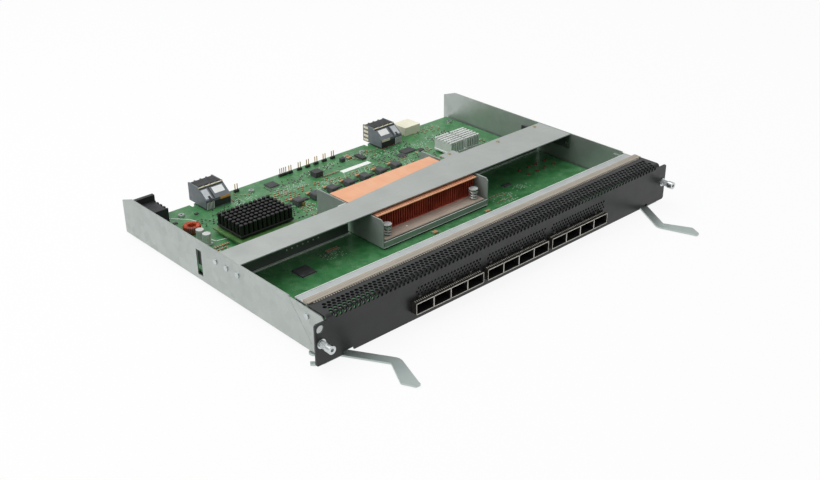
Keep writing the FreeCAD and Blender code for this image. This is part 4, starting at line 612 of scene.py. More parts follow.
def ring_tree():
    """Copies of a pattern round a circle, each turned to face outwards."""
    tree, given = start_tree("copies_in_a_ring", {
        "Pattern": "Object", "Count": "Int", "Radius": "Float", "Middle": "Vector",
        "Material": "Material"})
    circle = add(tree, "GeometryNodeCurvePrimitiveCircle",
                 {"Resolution": given["Count"], "Radius": given["Radius"]})
    points = add(tree, "GeometryNodeCurveToPoints", {"Curve": circle, "Count": given["Count"]})
    outward = add(tree, "FunctionNodeAlignEulerToVector",
                  {"Vector": add(tree, "GeometryNodeInputPosition")}, axis="X")
    ring = copies(tree, points, given["Pattern"], Rotation=outward)
    return end_tree(tree, ring, {"Translation": given["Middle"]}, given["Material"])


def run(tree, inputs):
    """What a tree makes with those inputs, as a plain mesh. A mesh input is a pattern."""
    holder = placed("holder", bpy.data.meshes.new("holder"))
    maker = holder.modifiers.new("maker", "NODES")
    maker.node_group = tree
    names = {item.name: item.identifier for item in tree.interface.items_tree
             if item.item_type == "SOCKET" and item.in_out == "INPUT"}
    patterns = []
    for label, value in inputs.items():
        if isinstance(value, bpy.types.Mesh):
            value = placed("pattern", value)
            patterns.append(value)
        maker[names[label]] = value
    return evaluated(holder, *patterns)


ROWS, COIL, RING = rows_tree(), coil_tree(), ring_tree()
FACING = (QUARTER_TURN, 0, 0)


def in_rows(pattern, counts, pitches, middle, material, shift=0.0, left_out=0.0, seed=1,
            tilt=(0, 0, 0)):
    """Copies of a pattern; counts and pitches are those of the columns and the rows."""
    return run(ROWS, {"Pattern": pattern, "Columns": counts[0], "Rows": counts[1],
                      "Pitch": pitches[0] * MM, "Row pitch": pitches[1] * MM,
                      "Shift": shift * MM, "Left out": left_out, "Seed": seed, "Tilt": tilt,
                      "Middle": [c * MM for c in middle], "Material": material})


def in_line(pattern, count, pitch, middle, material, tilt=(0, 0, 0)):
    return in_rows(pattern, (count, 1), (pitch, 1.0), middle, material, tilt=tilt)


def coil(turns, radius, length, wire, start, material, tilt=(0, 0, 0)):
    """A coiled wire with its first turn at start. One turn without length is a ring."""
    return run(COIL, {"Turns": turns, "Radius": radius * MM, "Length": length * MM,
                      "Wire radius": wire * MM, "Tilt": tilt, "Start": [c * MM for c in start],
                      "Material": material})


# ---- front panel and ports

PANEL_FRONT, PANEL_TOP, FOLD_RADIUS = -150.0, 43.6, 3.4
TOP_COLUMNS, TOP_PITCH, TOP_ROW_PITCH, FRONT_ROW = 88, 4.6, 3.75, -146.65
VENT_PITCH, VENT_ROW_PITCH, VENT_LOW, VENT_ASIDE = 3.75, 2.9, 21.8, 2.5
GROUPS, GROUP_PITCH, PORTS, PORT_PITCH = (-1, 0, 1), 83.0, 4, 19.5
PORT_LOW, PORT_HIGH, PORT_FRONT = 10.9, 20.9, -156.0
BOARD_TOP = 10.9


def punched_panel():
    """The folded panel with its rows of holes in the top, the fold and over the ports."""
    aside, fold = TOP_PITCH / 4, FOLD_RADIUS * math.sqrt(0.5)
    tools = [in_rows(prism(12, 1.85, 6.0), (TOP_COLUMNS, 4), (TOP_PITCH, TOP_ROW_PITCH),
                     (-aside, FRONT_ROW + 1.5 * TOP_ROW_PITCH, PANEL_TOP), PANEL_PAINT,
                     shift=TOP_PITCH / 2)]
    for x, y, z, tilt in (
            (-aside, PANEL_FRONT + FOLD_RADIUS - fold, PANEL_TOP - FOLD_RADIUS + fold, 45),
            (aside, PANEL_FRONT, PANEL_TOP - FOLD_RADIUS - 0.2, 90)):
        tools.append(in_line(prism(10, 1.5, 5.0), TOP_COLUMNS, TOP_PITCH, (x, y, z),
                             PANEL_PAINT, (math.radians(tilt), 0, 0)))
    tools += [in_rows(prism(8, 1.32, 6.0), (20, 4), (VENT_PITCH, VENT_ROW_PITCH),
                      (group * GROUP_PITCH + VENT_ASIDE, PANEL_FRONT,
                       VENT_LOW + 1.5 * VENT_ROW_PITCH), PANEL_PAINT,
                      shift=VENT_PITCH / 2, tilt=FACING) for group in GROUPS]
    punches = placed("punches", together("punches", tools))
    mesh = modified("front_panel", "BOOLEAN", punches, operation="DIFFERENCE", object=punches,
                    solver="MANIFOLD")
    show("punched_panel", mesh, PANEL_PAINT, stands_for=["front_panel"])


def edge_teeth():
    """The gasket's fingers, which lap over the rear edge of the panel's folded top."""
    low, high = box_of("foam_gasket")
    foot, lap_y, teeth_y = PANEL_TOP - 0.02, -126.2, -128.4
    lap = box((high.x - low.x, 2.9, 1.1), 0.15, (0, lap_y, foot))
    teeth = in_line(box((1.1, 1.9, 0.6), 0.1), 170, 2.4, (0, teeth_y, foot), GASKET)
    show("edge_teeth", [lap, teeth], GASKET)


def mouth(wide, deep, tall, wall, side_wall, chamfer, y):
    """Four thin walls round an opening, its middle at the origin."""
    return ([box((wide, deep, wall), chamfer, (0, y, z)) for z in (tall / 2 - wall, -tall / 2)]
            + [box((side_wall, deep, tall), chamfer, (side * (wide - side_wall) / 2, y, -tall / 2))
               for side in SIDES])


def at_ports(name, walls, y, material):
    """Shows the same walls at the mouth of every port."""
    pattern = together("walls", walls)
    show(name, [in_line(pattern, PORTS, PORT_PITCH,
                        (group * GROUP_PITCH, y, (PORT_HIGH + PORT_LOW) / 2), material)
                for group in GROUPS], material)


def port_liners():
    """Black walls in the mouth of each port, painted shade for its dark inside: four thin walls
    and the end of the plug's channel.
    """
    wide, deep, tall = PORT_PITCH - 1.2, 20.0, PORT_HIGH - PORT_LOW - 1.2
    walls = mouth(wide, deep, tall, 0.25, 0.25, 0.03, deep / 2)
    walls.append(box((wide - 1, 0.4, tall - 1), 0.03, (0, deep - 0.4, (1 - tall) / 2)))
    at_ports("port_liners", walls, PORT_FRONT + 0.5, PORT_BLACK)


def window_shades():
    """A black strip in the upper part of the window in each side: painted shadow inside the
    window.
    """
    inner, y, foot = box_of("cross_beam")[1].x - 1.2, 24.5, 16.5
    show("window_shades", [box((0.9, 10.5, 17.0), 0.15, (side * inner, y, foot))
                           for side in SIDES], BLACK_PLASTIC)


def port_rims():
    """The bright edge round the mouth of each port."""
    wall = 0.6
    walls = mouth(PORT_PITCH - 0.1, 0.5, PORT_HIGH - PORT_LOW + 0.3, wall, wall * 0.7, 0.1, 0)
    at_ports("port_rims", walls, PORT_FRONT, RIM_STEEL)


def cage_fingers():
    """The spring fingers on each cage, and pale strips behind the vents: painted glints seen
    through the holes.
    """
    pitch, meshes = 2.12, []
    for middle in (group * GROUP_PITCH for group in GROUPS):
        meshes += [in_line(box((0.75, 1.6, 0.5), 0.15), 36, pitch,
                           (middle, PORT_FRONT + 3.4, PORT_HIGH), RIM_STEEL),
                   # Painted glints: pale strips seen through the vents.
                   in_line(box((1.2, 0.3, 9.6), 0.1), 34, pitch,
                           (middle + VENT_ASIDE, PANEL_FRONT + 2.0, PORT_HIGH + 0.1), PALE_ZINC_AND_HIGHLIGHT)]
    show("cage_fingers", meshes, RIM_STEEL)


def panel_ends():
    """The dark sheet that closes each end of the panel's folded top."""
    x, y, foot = 207.4, -136.6, 12.0
    show("panel_ends", [box((0.8, 19.0, 30.0), 0.1, (side * x, y, foot)) for side in SIDES],
         BLACK_PLASTIC)


# ---- gasket

def carrier_lips():
    """Pale strips on the folded edges of the gasket's carrier: a painted highlight."""
    low, high = box_of("gasket_carrier")
    show("carrier_lips", [box((high.x - low.x, 0.7, 0.5), 0.15, (0, y, high.z - 0.1))
                          for y in (box_of("foam_gasket")[1].y + 0.4, high.y - 0.35)],
         PALE_ZINC_AND_HIGHLIGHT)


def cloth_gasket():
    """The cloth-covered foam strip on the carrier, crowned and slightly uneven."""
    low, high = box_of("foam_gasket")
    half, middle, rise = (high.y - low.y) / 2, (high.y + low.y) / 2, high.z - low.z
    crown = [(-1.0, 0.0), (-1.0, 0.35), (-0.93, 0.7), (-0.75, 0.9), (-0.4, 0.99), (0.0, 1.0),
             (0.4, 0.99), (0.75, 0.9), (0.93, 0.7), (1.0, 0.35), (1.0, 0.0)]
    work, rings, steps = bmesh.new(), [], 140
    for step in range(steps + 1):
        x = low.x + (high.x - low.x) * step / steps
        swell = 1 - 0.05 * (1 + math.sin(step * 1.7)) * (0.5 + 0.5 * math.sin(step * 0.31))
        rings.append([work.verts.new((x * MM, (middle + half * u) * MM,
                                      (low.z + rise * v * swell) * MM)) for u, v in crown])
    skin(work, rings)
    work.faces.new(rings[0][::-1])
    work.faces.new(rings[-1])
    bmesh.ops.recalc_face_normals(work, faces=work.faces[:])
    for face in work.faces:
        face.smooth = len(face.verts) == 4
    piece = show("cloth_gasket", mesh_of("cloth_gasket", work), GASKET,
                 stands_for=["foam_gasket"])


# ---- springs and windings

def captive_springs():
    """The coil springs between the captive screws' heads and their bushes."""
    turns, wire, keep = 5.5, 0.42, 0.27
    for side in ("left", "right"):
        node = side + "_captive_spring"
        low, high = box_of(node)
        x, z = (low.x + high.x) / 2, (low.z + high.z) / 2
        mesh = coil(turns, (high.x - low.x) / 2 - wire, high.y - low.y - 2 * wire, wire,
                    (x, low.y + wire, z), SPRING_WIRE, (-QUARTER_TURN, 0, 0))
        piece = show(side + "_coiled_spring", mesh, SPRING_WIRE,
                     stands_for=[node], smooth=True)
        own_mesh(piece)


def sink_coils():
    """The four springs that press the heat sink on its chip, and the ring on each screw."""
    turns, wire, ring_wire, inset, cap_half = 2.6, 0.72, 0.65, 0.45, 1.3
    springs, rings = [], []
    for low, high in solids_of("sink_springs"):
        springs.append(coil(turns, (high.x - low.x) / 2 - wire, high.z - low.z - 2 * wire,
                            wire, (*centre(low, high), low.z + wire), SPRING_WIRE))
    for low, high in solids_of("sink_spring_screws"):
        rings.append(coil(1.0, (high.x - low.x) / 2 - inset, 0.0, ring_wire,
                          (*centre(low, high), high.z - cap_half), PORT_BLACK))
    show("sink_coils", springs, SPRING_WIRE, stands_for=["sink_springs"],
         smooth=True)
    show("sink_screw_rings", rings, PORT_BLACK, smooth=True)


def toroid_turns():
    """Single turns of wire round the toroid's core."""
    low, high = box_of("toroid_winding")
    turns, wire, deep, tall, steps, sides = 26, 0.5, 5.0, high.z - low.z, 18, 8
    work, rings = bmesh.new(), []
    for step in range(steps):
        # A rounded square loop in the XZ plane, one wire thick.
        c, s = (pick(2 * math.pi * step / steps) for pick in (math.cos, math.sin))
        x = math.copysign(abs(c) ** 0.5, c) * (deep / 2 - wire)
        z = math.copysign(abs(s) ** 0.5, s) * (tall / 2 - wire)
        out = Vector((c, 0, s))
        rings.append([work.verts.new((Vector((x, 0, z)) + wire * (math.cos(a) * out
                                      + math.sin(a) * Vector((0, 1, 0)))) * MM)
                      for a in (2 * math.pi / sides * k for k in range(sides))])
    skin(work, rings, closed=True)
    bmesh.ops.recalc_face_normals(work, faces=work.faces[:])
    for face in work.faces:
        face.smooth = True
    middle = (*centre(low, high), (low.z + high.z) / 2)
    mesh = run(RING, {"Pattern": mesh_of("turn", work), "Count": turns,
                      "Radius": ((high.x - low.x) / 2 - deep / 2) * MM,
                      "Middle": [c * MM for c in middle], "Material": WIRE})
    show("toroid_turns", mesh, WIRE, stands_for=["toroid_winding"])


# ---- sheet metal

SHEARED_EDGE = 0.3


def softened(name, material):
    """The node with its sheared edges broken, so that they catch the light."""
    mesh = modified(name, "BEVEL", width=SHEARED_EDGE * MM, segments=1, limit_method="ANGLE",
                    angle_limit=math.radians(50), profile=0.5)
    show("edged_" + name, mesh, material, body=BODY_OF[name], stands_for=[name])


def beam_hem():
    """The hem along the foot of each web, near white as a painted highlight, the web's studs and
    the small tab at the rear.
    """
    low, high = box_of("cross_beam")
    sink, inset = 69.5, 2.5
    pieces = [box((last - first, 2.4, 0.9), 0.2, ((first + last) / 2, y, low.z))
              for first, last, y in ((low.x + inset, -sink, -9.4), (sink, high.x - inset, 3.7))]
    pieces.append(box((9.0, 1.0, 5.0), 0.2, (-75.0, -5.9, high.z - 5.1)))
    pieces.append(in_line(prism(8, 0.8, 0.5), 7, 5.9, (-123.0, -8.3, 20.2), PALE_ZINC_AND_HIGHLIGHT, FACING))
    show("beam_hem", pieces, PALE_ZINC_AND_HIGHLIGHT)


# ---- heat sinks

SHROUD_FRONT = -54.0


def sink_seals():
    """Black strips behind and under the shroud's front lip, painted shadow in the gaps there, and
    pale strips on the lip's edges, a painted highlight.
    """
    show("sink_seals", [box((126.0, 1.0, 0.6), 0.15, (0, SHROUD_FRONT + 1.4, 18.1)),
                        box((131.0, 1.6, 1.25), 0.2, (0, SHROUD_FRONT + 0.8, BOARD_TOP))],
         PORT_BLACK)
    show("lip_edges", [box((133.0, 0.5, 0.45), 0.12, (0, SHROUD_FRONT, z))
                       for z in (12.3, 17.95)], PALE_ZINC_AND_HIGHLIGHT)


def pin_fins():
    """The black sink: a plate and its rows of round pins."""
    low, high = box_of("pin_fin_heat_sink")
    columns, rows, edge, base, radius, sunk = 12, 7, 2.3, 2.5, 2.0, 0.1
    (wide, deep, tall), (x, y) = high - low, centre(low, high)
    pins = in_rows(round_pin(radius, tall - base + sunk, 0.45), (columns, rows),
                   ((wide - 2 * edge) / (columns - 1), (deep - 2 * edge) / (rows - 1)),
                   (x, y, low.z + base - sunk), BLACK_ANODISED)
    show("round_pin_fins", [box((wide, deep, base), 0.4, (x, y, low.z)), pins], BLACK_ANODISED,
         stands_for=["pin_fin_heat_sink"])


def silver_fins():
    """The bright sink: two groups of fins, their tips notched across."""
    low, high = box_of("silver_heat_sink")
    base, fin, in_group, gap, notches, notch, sunk = 2.2, 1.6, 6, 3.0, 6, 1.8, 0.1
    (wide, deep, tall), (x, y) = high - low, centre(low, high)
    pitch = (wide / 2 - gap / 2 - fin - 1.2) / (in_group - 1)
    pieces = [box((wide, deep, base), 0.3, (x, y, low.z))]
    for side in SIDES:
        middle = x + side * (gap / 2 + (wide / 2 - gap / 2) / 2)
        pieces.append(in_line(box((fin, deep, tall - base - notch + sunk), 0.1), in_group, pitch,
                              (middle, y, low.z + base - sunk), ALUMINIUM))
        pieces.append(in_rows(box((fin + 1.2, deep / notches - 1.9, notch + sunk), 0.12),
                              (in_group, notches), (pitch, (deep - 3.0) / (notches - 1)),
                              (middle, y, high.z - notch - sunk), ALUMINIUM))
    show("notched_silver_fins", pieces, ALUMINIUM,
         stands_for=["silver_heat_sink"])


def copper_edge():
    """The fins' tips in a row before the copper lid, its rolled front and a rivet."""
    low, high = box_of("copper_lid")
    fins, pitch, rivet_at = 43, 2.9, (-30.9, -44.8, 19.75)
    tips = in_line(box((0.7, 1.5, 0.16), 0.04), fins, pitch, (0, low.y - 1.6, high.z - 0.14),
                   FIN_COPPER)
    roll = box((high.x - low.x - 1, 4.6, 1.0), 0.25, (0, low.y - 1.5, high.z - 1.1))
    rivet = coil(1.0, 0.55, 0.0, 0.5, rivet_at, TIN)
    show("fin_tips", tips, FIN_COPPER)
    show("lid_front_roll", roll, LID_COPPER)
    show("base_plate_rivet", rivet, PALE_ZINC_AND_HIGHLIGHT)


# ---- rear connectors

CONNECTOR_FRONT, SLOPE_REAR, SHOULDER, SLOPE_TOP = 124.0, 136.5, 21.2, 30.2
SLOPE = math.atan2(SLOPE_TOP - SHOULDER, SLOPE_REAR - CONNECTOR_FRONT)


def on_slope(size, chamfer, x, along, lift=0.0):
    """A box on the slanted face, along from 0 at the shoulder to 1 at the top."""
    mesh = box(size, chamfer)
    mesh.transform(Matrix.Rotation(SLOPE, 4, "X"))
    return shifted(mesh, x, CONNECTOR_FRONT + along * (SLOPE_REAR - CONNECTOR_FRONT)
                   - lift * math.sin(SLOPE),
                   SHOULDER + along * (SLOPE_TOP - SHOULDER) + lift * math.cos(SLOPE))


def connector_dress(side, mirror):
    """What is seen on one rear connector: film, label, latch, painted shadow strips, strip, tails,
    ribs and foot.
    """
    low, high = box_of("rear_connector_%s_housing" % side)
    wide, middle, front = high.x - low.x, (low.x + high.x) / 2, CONNECTOR_FRONT
    cover_y, ribs_y, carrier_y, carrier_pitch = 145.6, 144.0, 149.6, 4.7

    def across(share):
        """X at that share of the width, from the outer end."""
        return middle + mirror * (share - 0.5) * wide

    film = box((wide * 0.4, 0.3, 2.6), 0.08, (across(0.78), front - 0.22, SHOULDER - 2.7))
    label = on_slope((wide * 0.42, 7.4, 0.16), 0.04, across(0.68), 0.56, 0.02)
    latch = on_slope((wide * 0.24, 11.0, 0.22), 0.06, across(0.16), 0.46)
    # Painted shadow: black strips in the slanted face's grooves, on the lower front face and under
    # the ribs on top.
    shade_strips = [on_slope((wide * 0.05, 12.5, 0.3), 0.06, across(0.36), 0.45),
               on_slope((wide * 0.09, 4.2, 0.42), 0.1, across(0.2), 0.14, 0.02),
               on_slope((wide * 0.94, 1.5, 0.3), 0.06, middle, 0.93),
               box((wide * 0.62, 0.3, 6.6), 0.06, (across(0.66), front - 0.1, low.z - 0.4)),
               box((wide * 0.36, 0.2, 8.0), 0.05, (across(0.18), front - 0.02, low.z - 1.4)),
               box((wide * 0.9, 14.0, 0.3), 0.08, (middle, cover_y, high.z - 0.22))]
    strip = [box((wide, 1.5, 0.7), 0.15, (middle, SLOPE_REAR + 0.2, SLOPE_TOP - 0.1))]
    tails = in_line(box((0.6, 0.6, 7.4), 0.1), 6, wide * 0.055,
                    (across(0.17), front - 0.3, low.z - 1.2), PALE_ZINC_AND_HIGHLIGHT)
    ribs = in_rows(box((wide * 0.14, 3.4, 0.9), 0.2), (4, 2), (wide * 0.2, 6.0),
                   (middle, ribs_y, high.z - 1.0), BLACK_PLASTIC, shift=1.2, left_out=0.12,
                   seed=4)
    foot = box((wide, 1.2, 1.2), 0.2, (middle, front + 0.6, BOARD_TOP))
    film_material, foot_material = FILM, CONNECTOR
    if side == "right":
        film_material, foot_material = CREAM, FOOT
        # The contact carriers of the open end face.
        strip += [box((0.4, 7.6, 2.9), 0.3,
                      (low.x + 0.05, carrier_y, low.z + 0.8 + carrier_pitch * step))
                  for step in range(4)]
    for part, meshes, material, slot in (
            ("film", film, film_material, "connector_grey"),
            ("label", label, LABEL, "connector_grey"),
            ("latch", latch, LATCH, "connector_grey"),
            ("shadow", shade_strips, BLACK_PLASTIC, "black_plastic"),
            ("strip", strip, CREAM, "connector_grey"),
            ("tails", tails, PALE_ZINC_AND_HIGHLIGHT, "bright_steel"),
            ("ribs", ribs, CONNECTOR, "connector_grey"),
            ("foot", foot, foot_material, "connector_grey")):
        show("%s_connector_%s" % (side, part), meshes, material)


# ---- board detail

OVAL_WIDE, OVAL_DEEP, NEARLY = 5.0, 2.6, 0.2
LONG_BLOCK, CHIP_PITCH = 10, 2.8


def ceramic_capacitors():
    """The larger chip capacitors, the long blocks told apart, each with tinned ends."""
    bodies, ends, ovals = [], [], []
    for low, high in solids_of("chip_capacitors"):
        wide, deep, tall = high - low
        if abs(wide - OVAL_WIDE) < NEARLY and abs(deep - OVAL_DEEP) < NEARLY:
            oval = round_pin(deep / 2, tall, 0.3)
            oval.transform(Matrix.Diagonal((wide / deep, 1, 1, 1)))
            ovals.append(shifted(oval, *centre(low, high), low.z))
            continue
        lengthwise = wide >= deep
        long, short = max(wide, deep), min(wide, deep)
        count = max(1, round(long / CHIP_PITCH)) if long > LONG_BLOCK else 1
        step = long / count
        a, b = (step * 0.72, short) if count > 1 else (long, short)
        size = (a, b) if lengthwise else (b, a)
        # The ends lie across the shorter side in a row, and at the ends of one alone.
        at_ends = (count == 1) == lengthwise
        cap = (size[0] * 0.16, size[1]) if at_ends else (size[0], size[1] * 0.16)
        for along in ((number + 0.5) * step for number in range(count)):
            x = low.x + (along if lengthwise else wide / 2)
            y = low.y + (deep / 2 if lengthwise else along)
            bodies.append(box((size[0] * 0.9, size[1] * 0.9, tall), 0.25, (x, y, low.z)))
            for side in SIDES:
                dx = side * size[0] * 0.42 if at_ends else 0.0
                dy = 0.0 if at_ends else side * size[1] * 0.42
                ends.append(box((*cap, tall + 0.05), 0.1, (x + dx, y + dy, low.z)))
    show("ceramic_capacitors", bodies, TAN, stands_for=["chip_capacitors"])
    show("capacitor_caps", ends, TIN)
    show("oval_parts", ovals, FOOT)


def legged_chips():
    """The moulded chips, with a row of tinned legs on each side and a dimple at pin one."""
    bodies, legs, dimples = [], [], []
    pitch, out, inset, margin, four_sided = 1.15, 0.5, 1.8, 1.6, 6
    for low, high in solids_of("control_chips"):
        wide, deep, tall = high - low
        at = (*centre(low, high), low.z)
        bodies.append(box((wide - 0.8, deep - 0.8, tall), 0.3, at))
        dimples.append(box((0.9, 0.9, 0.06), 0.02, (low.x + inset, low.y + inset, high.z)))
        across, along = (max(2, int((span - margin) / pitch)) for span in (wide, deep))
        legs.append(in_rows(box((0.5, 0.9, 0.5), 0.1), (across, 2), (pitch, deep - out), at, TIN))
        if deep > four_sided:
            legs.append(in_rows(box((0.9, 0.5, 0.5), 0.1), (2, along), (wide - out, pitch), at,
                                TIN))
    show("moulded_chips", bodies, CHIP, stands_for=["control_chips"])
    show("chip_legs", legs, TIN)
    show("chip_dimples", dimples, FERRITE)


def moulded_coils():
    """The phase coils: softened blocks with a folded terminal at each end."""
    bodies, feet = [], []
    for low, high in solids_of("inductors"):
        (wide, deep, tall), (x, y) = high - low, centre(low, high)
        bodies.append(box((wide, deep, tall), 0.9, (x, y, low.z)))
        feet += [box((3.0, 0.7, tall * 0.55), 0.15, (x + 1.8, y + side * (deep / 2 - 0.1), low.z))
                 for side in SIDES]
    show("moulded_coils", bodies, FERRITE, stands_for=["inductors"])
    show("coil_terminals", feet, GOLD)


def screw_crosses():
    """The pale washer on each board screw, and a black cross on its head: painted shade in the
    cross recess.
    """
    cross_shadows, washers = [], []
    for low, high in solids_of("board_screws"):
        x, y = centre(low, high)
        cross_shadows += [box((*size, 0.08), 0.02, (x, y, high.z)) for size in ((2.6, 0.7), (0.7, 2.6))]
        washers.append(coil(1.0, 2.9, 0.0, 0.32, (x, y, BOARD_TOP + 0.35), TIN))
    show("screw_crosses", cross_shadows, BLACK_PLASTIC)
    show("screw_washers", washers, TIN)


def ribbon(points, wide):
    """Flat printed lines on the board, from each point to the next."""
    pieces = []
    for (ax, ay), (bx, by) in zip(points, points[1:]):
        piece = box((math.hypot(bx - ax, by - ay) + wide * 0.8, wide, 0.05), 0.01)
        piece.transform(Matrix.Rotation(math.atan2(by - ay, bx - ax), 4, "Z"))
        pieces.append(shifted(piece, (ax + bx) / 2, (ay + by) / 2, BOARD_TOP))
    return pieces


def group_on_board(turned, pattern, columns, rows, pitches, x, y, material, shift, left_out,
                   seed):
    """Copies on the board. A turned group lies a quarter turn round on the same patch."""
    counts = (rows, columns) if turned else (columns, rows)
    return in_rows(pattern, counts, pitches, (x, y, BOARD_TOP), material, shift, left_out, seed,
                   (0, 0, QUARTER_TURN if turned else 0))


# Groups of white marks: middle x, middle y, columns, rows, pitch, row pitch
INK_MARKS = [
    (-46, 112, 14, 7, 2.6, 2.1), (-14, 96, 14, 7, 2.4, 2.2), (30, 96, 18, 6, 2.7, 2.3),
    (64, 122, 10, 8, 3.0, 2.4), (92, 112, 12, 8, 2.6, 2.2), (118, 100, 8, 8, 2.8, 2.4),
    (150, 108, 16, 7, 2.8, 2.6), (176, 80, 10, 14, 2.7, 2.4), (-92, 84, 8, 12, 2.6, 2.3),
    (-96, 116, 12, 8, 2.8, 2.4), (-62, 66, 8, 12, 2.5, 2.2), (-118, 132, 12, 3, 2.6, 2.2),
    (-176, 40, 8, 10, 2.6, 2.4), (-104, -30, 10, 5, 2.7, 2.4), (92, -52, 10, 8, 2.9, 2.6),
    (124, -46, 8, 4, 2.9, 2.6), (84, 70, 6, 12, 2.6, 2.4), (160, 134, 16, 4, 2.8, 2.4),
    (20, 128, 30, 4, 2.8, 2.2),
]
# The white line round the input corner: x, y
INPUT_LINE = [(-178, 139), (-172.3, 133.9), (-160, 119.5), (-157.6, 112), (-159.4, 102.3),
              (-163, 92), (-169, 80), (-169.8, 75.7), (-166.6, 65), (-156.3, 63.0)]
LABEL_SIZE, LABEL_AT = (38.5, 6.6, 0.08), (35.2, 106.8, BOARD_TOP)


def board_ink():
    """White marks beside the parts, the line round the input corner and a blank label."""
    marks = [group_on_board(number % 2, box((1.6, 0.55, 0.04), 0.01), columns, rows,
                            (pitch, row_pitch), x, y, INK, pitch * 0.4, 0.5, 50 + number)
             for number, (x, y, columns, rows, pitch, row_pitch) in enumerate(INK_MARKS)]
    marks += ribbon(INPUT_LINE, 1.0)
    show("board_ink", marks, INK)
    show("board_label", box(LABEL_SIZE, 0.02, LABEL_AT), LABEL)


# Groups of small parts: middle x, middle y, columns, rows, pitch, row pitch, length, width,
# height, kind, share left out
SMALL_PARTS = [
    (-40, 97, 14, 5, 5.2, 3.8, 2.5, 1.3, 0.9, "tan", 0.45),
    (-46, 122, 12, 3, 4.8, 3.6, 2.1, 1.2, 0.8, "black", 0.5),
    (-66, 104, 5, 6, 4.6, 3.6, 2.4, 1.3, 0.9, "tan", 0.5),
    (4.6, 109.8, 9, 1, 2.3, 1.0, 1.2, 2.6, 1.0, "tan", 0.0),
    (-2, 124, 18, 3, 4.6, 3.4, 2.0, 1.1, 0.8, "black", 0.5),
    (30, 95, 18, 2, 4.6, 4.2, 2.3, 1.2, 0.9, "tan", 0.45),
    (66, 124, 9, 5, 4.8, 3.4, 2.2, 1.2, 0.9, "tan", 0.5),
    (76, 100, 8, 5, 4.6, 3.8, 2.4, 1.3, 0.9, "black", 0.45),
    (100, 90, 12, 3, 4.2, 3.4, 2.2, 1.2, 0.9, "tan", 0.4),
    (-120, 116, 8, 4, 4.4, 3.6, 2.0, 1.1, 0.8, "black", 0.55),
    (-100, 130, 9, 3, 4.2, 3.2, 2.1, 1.1, 0.8, "tan", 0.5),
    (-84, 84, 4, 9, 4.2, 3.8, 2.3, 1.2, 0.9, "tan", 0.45),
    (-80, 60, 3, 8, 4.4, 3.6, 2.1, 1.1, 0.8, "black", 0.45),
    (-62, 54, 5, 6, 4.0, 3.6, 2.3, 1.2, 0.9, "tan", 0.35),
    (84, 62, 5, 9, 4.2, 3.4, 2.3, 1.2, 0.9, "tan", 0.45),
    (108, 72, 6, 8, 4.2, 3.8, 2.1, 1.1, 0.8, "black", 0.45),
    (104, 116, 9, 4, 4.6, 3.6, 2.0, 1.1, 0.8, "black", 0.5),
    (178, 78, 4, 12, 3.8, 4.2, 2.3, 1.2, 0.9, "tan", 0.5),
    (160, 110, 8, 4, 4.4, 3.8, 2.0, 1.1, 0.8, "black", 0.5),
    (158, 128, 12, 3, 4.8, 3.6, 2.1, 1.2, 0.8, "tan", 0.55),
    (-176, 40, 5, 5, 4.0, 3.8, 2.8, 1.5, 1.1, "tan", 0.3),
    (-148, 104, 5, 5, 4.2, 3.6, 2.0, 1.1, 0.8, "black", 0.5),
    (-112, -27, 3, 2, 4.4, 4.0, 2.4, 1.3, 0.9, "black", 0.2),
    (88, -50, 5, 4, 4.6, 4.2, 2.3, 1.2, 0.9, "tan", 0.45),
]


def small_parts():
    """Hundreds of chip resistors and capacitors, each with tinned ends."""
    bodies, ends = {"tan": [], "black": []}, []
    for number, (x, y, columns, rows, pitch, row_pitch, long, wide, tall, kind,
                 gaps) in enumerate(SMALL_PARTS):
        body = box((long * 0.62, wide, tall), 0.08)
        caps = together("caps", [box((long * 0.22, wide * 1.05, tall * 1.05), 0.06,
                                     (side * long * 0.41, 0, 0)) for side in SIDES])
        for pattern, kept, material in ((body, bodies[kind], TAN if kind == "tan" else CHIP),
                                        (caps, ends, TIN)):
            kept.append(group_on_board(number % 3 == 1, pattern, columns, rows,
                                       (pitch, row_pitch), x, y, material, pitch / 2, gaps,
                                       11 + number))
    show("chip_resistors", bodies["black"], CHIP)
    show("ceramic_chips", bodies["tan"], TAN)
    show("tinned_ends", ends, TIN)


# ---- stage, light, camera

# Measured from the photograph: place, angles in radians, focal length in pixels of its width
CAMERA_AT = Vector((-634.08, -709.02, 469.05))
YAW, PITCH, ROLL = 0.7405801, 0.4773474, -0.0070944
FOCAL_PX, FRAME_PX, SENSOR = 1091.79, 820, 36.0
FLOOR_GAP, FLOOR_HALF = 0.2, 6000.0


def set_camera():
    ahead = Vector((math.sin(YAW) * math.cos(PITCH), math.cos(YAW) * math.cos(PITCH),
                    -math.sin(PITCH)))
    level = Vector((math.cos(YAW), -math.sin(YAW), 0))
    upward = level.cross(ahead)
    right = math.cos(ROLL) * level + math.sin(ROLL) * upward
    upward = -math.sin(ROLL) * level + math.cos(ROLL) * upward
    data = bpy.data.cameras.new("camera")
    data.sensor_width = SENSOR
    data.lens = FOCAL_PX * SENSOR / FRAME_PX
    data.clip_start, data.clip_end = 0.01, 30.0
    scene.camera = placed("camera", data)
    turn = Matrix((right, upward, -ahead)).transposed().to_4x4()
    scene.camera.matrix_world = Matrix.Translation(CAMERA_AT * MM) @ turn


def seen_by(tree, *kinds):
    """1 for rays of those kinds, otherwise 0."""
    path = add(tree, "ShaderNodeLightPath").outputs
    seen = path[kinds[0]]
    for kind in kinds[1:]:
        seen = maths(tree, "MAXIMUM", seen, path[kind])
    return seen


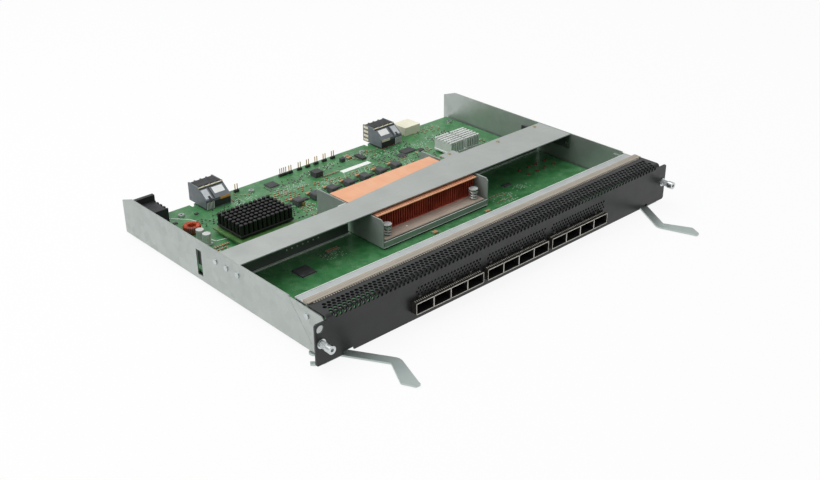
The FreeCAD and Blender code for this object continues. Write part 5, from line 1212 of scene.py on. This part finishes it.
def set_stage():
    """A pale floor that keeps the shadow and a white world behind it."""
    work = bmesh.new()
    bmesh.ops.create_grid(work, x_segments=1, y_segments=1, size=FLOOR_HALF * MM,
                          matrix=Matrix.Translation((0, 0, cad_box[0][2] - FLOOR_GAP * MM)))
    floor = placed("floor", mesh_of("floor", work))
    material = bpy.data.materials.new("pale_floor")
    material.use_nodes = True
    tree = material.node_tree
    tree.nodes.clear()
    seen = seen_by(tree, "Is Camera Ray", "Is Glossy Ray", "Is Transmission Ray")
    matt = add(tree, "ShaderNodeBsdfDiffuse", {"Color": paint("#e6e6e6")})
    glow = add(tree, "ShaderNodeEmission", {"Color": paint("#ffffff"), "Strength": 1.0})
    mixed = add(tree, "ShaderNodeMixShader",
                {0: maths(tree, "MULTIPLY", seen, 0.9), 1: matt, 2: glow})
    add(tree, "ShaderNodeOutputMaterial", {0: mixed})
    floor.data.materials.append(material)

    world = bpy.data.worlds.new("white_studio")
    world.use_nodes = True
    scene.world = world
    tree = world.node_tree
    tree.nodes.clear()
    seen = seen_by(tree, "Is Camera Ray", "Is Transmission Ray")
    # The room is darker towards the front, where the camera stands.
    way = add(tree, "ShaderNodeTexCoord").outputs["Generated"]
    parts = add(tree, "ShaderNodeSeparateXYZ", {0: way}).outputs
    rear = maths(tree, "ADD", parts[1], maths(tree, "MULTIPLY", parts[2], 0.9))
    strength = add(tree, "ShaderNodeMix",
                   {0: seen, 2: ramp(tree, rear, -0.8, 0.2, 0.1, 0.62), 3: 1.0})
    white = add(tree, "ShaderNodeBackground", {"Color": paint("#ffffff"), "Strength": strength})
    add(tree, "ShaderNodeOutputWorld", {0: white})


def set_lights():
    """Soft boxes, all aimed at the origin: their places and sizes in metres, and watts."""
    for name, at, size, power in (("overhead_box", (-0.25, 0.45, 1.5), 1.6, 15.0),
                                  ("left_box", (-1.6, 0.15, 0.9), 1.0, 7.6),
                                  ("front_box", (0.5, -1.5, 0.9), 1.0, 1.0)):
        data = bpy.data.lights.new(name, "AREA")
        data.shape = "SQUARE"
        data.size = size
        data.energy = power
        lamp = placed(name, data)
        lamp.location = at
        lamp.rotation_euler = (-Vector(at)).to_track_quat("-Z", "Y").to_euler()


for name, material in (("cross_beam", BEAM_STEEL), ("heat_sink_shroud", SHROUD_STEEL),
                       ("chassis_tray", STEEL)):
    softened(name, material)
for make in (beam_hem, punched_panel, edge_teeth, port_liners, window_shades, port_rims,
             cage_fingers, panel_ends, carrier_lips, cloth_gasket, captive_springs, sink_coils,
             sink_seals, pin_fins, silver_fins, copper_edge):
    make()
connector_dress("left", 1)
connector_dress("right", -1)
for make in (toroid_turns, ceramic_capacitors, legged_chips, moulded_coils, screw_crosses,
             board_ink, small_parts, set_camera, set_stage, set_lights):
    make()
scene.view_settings.view_transform = "Standard"
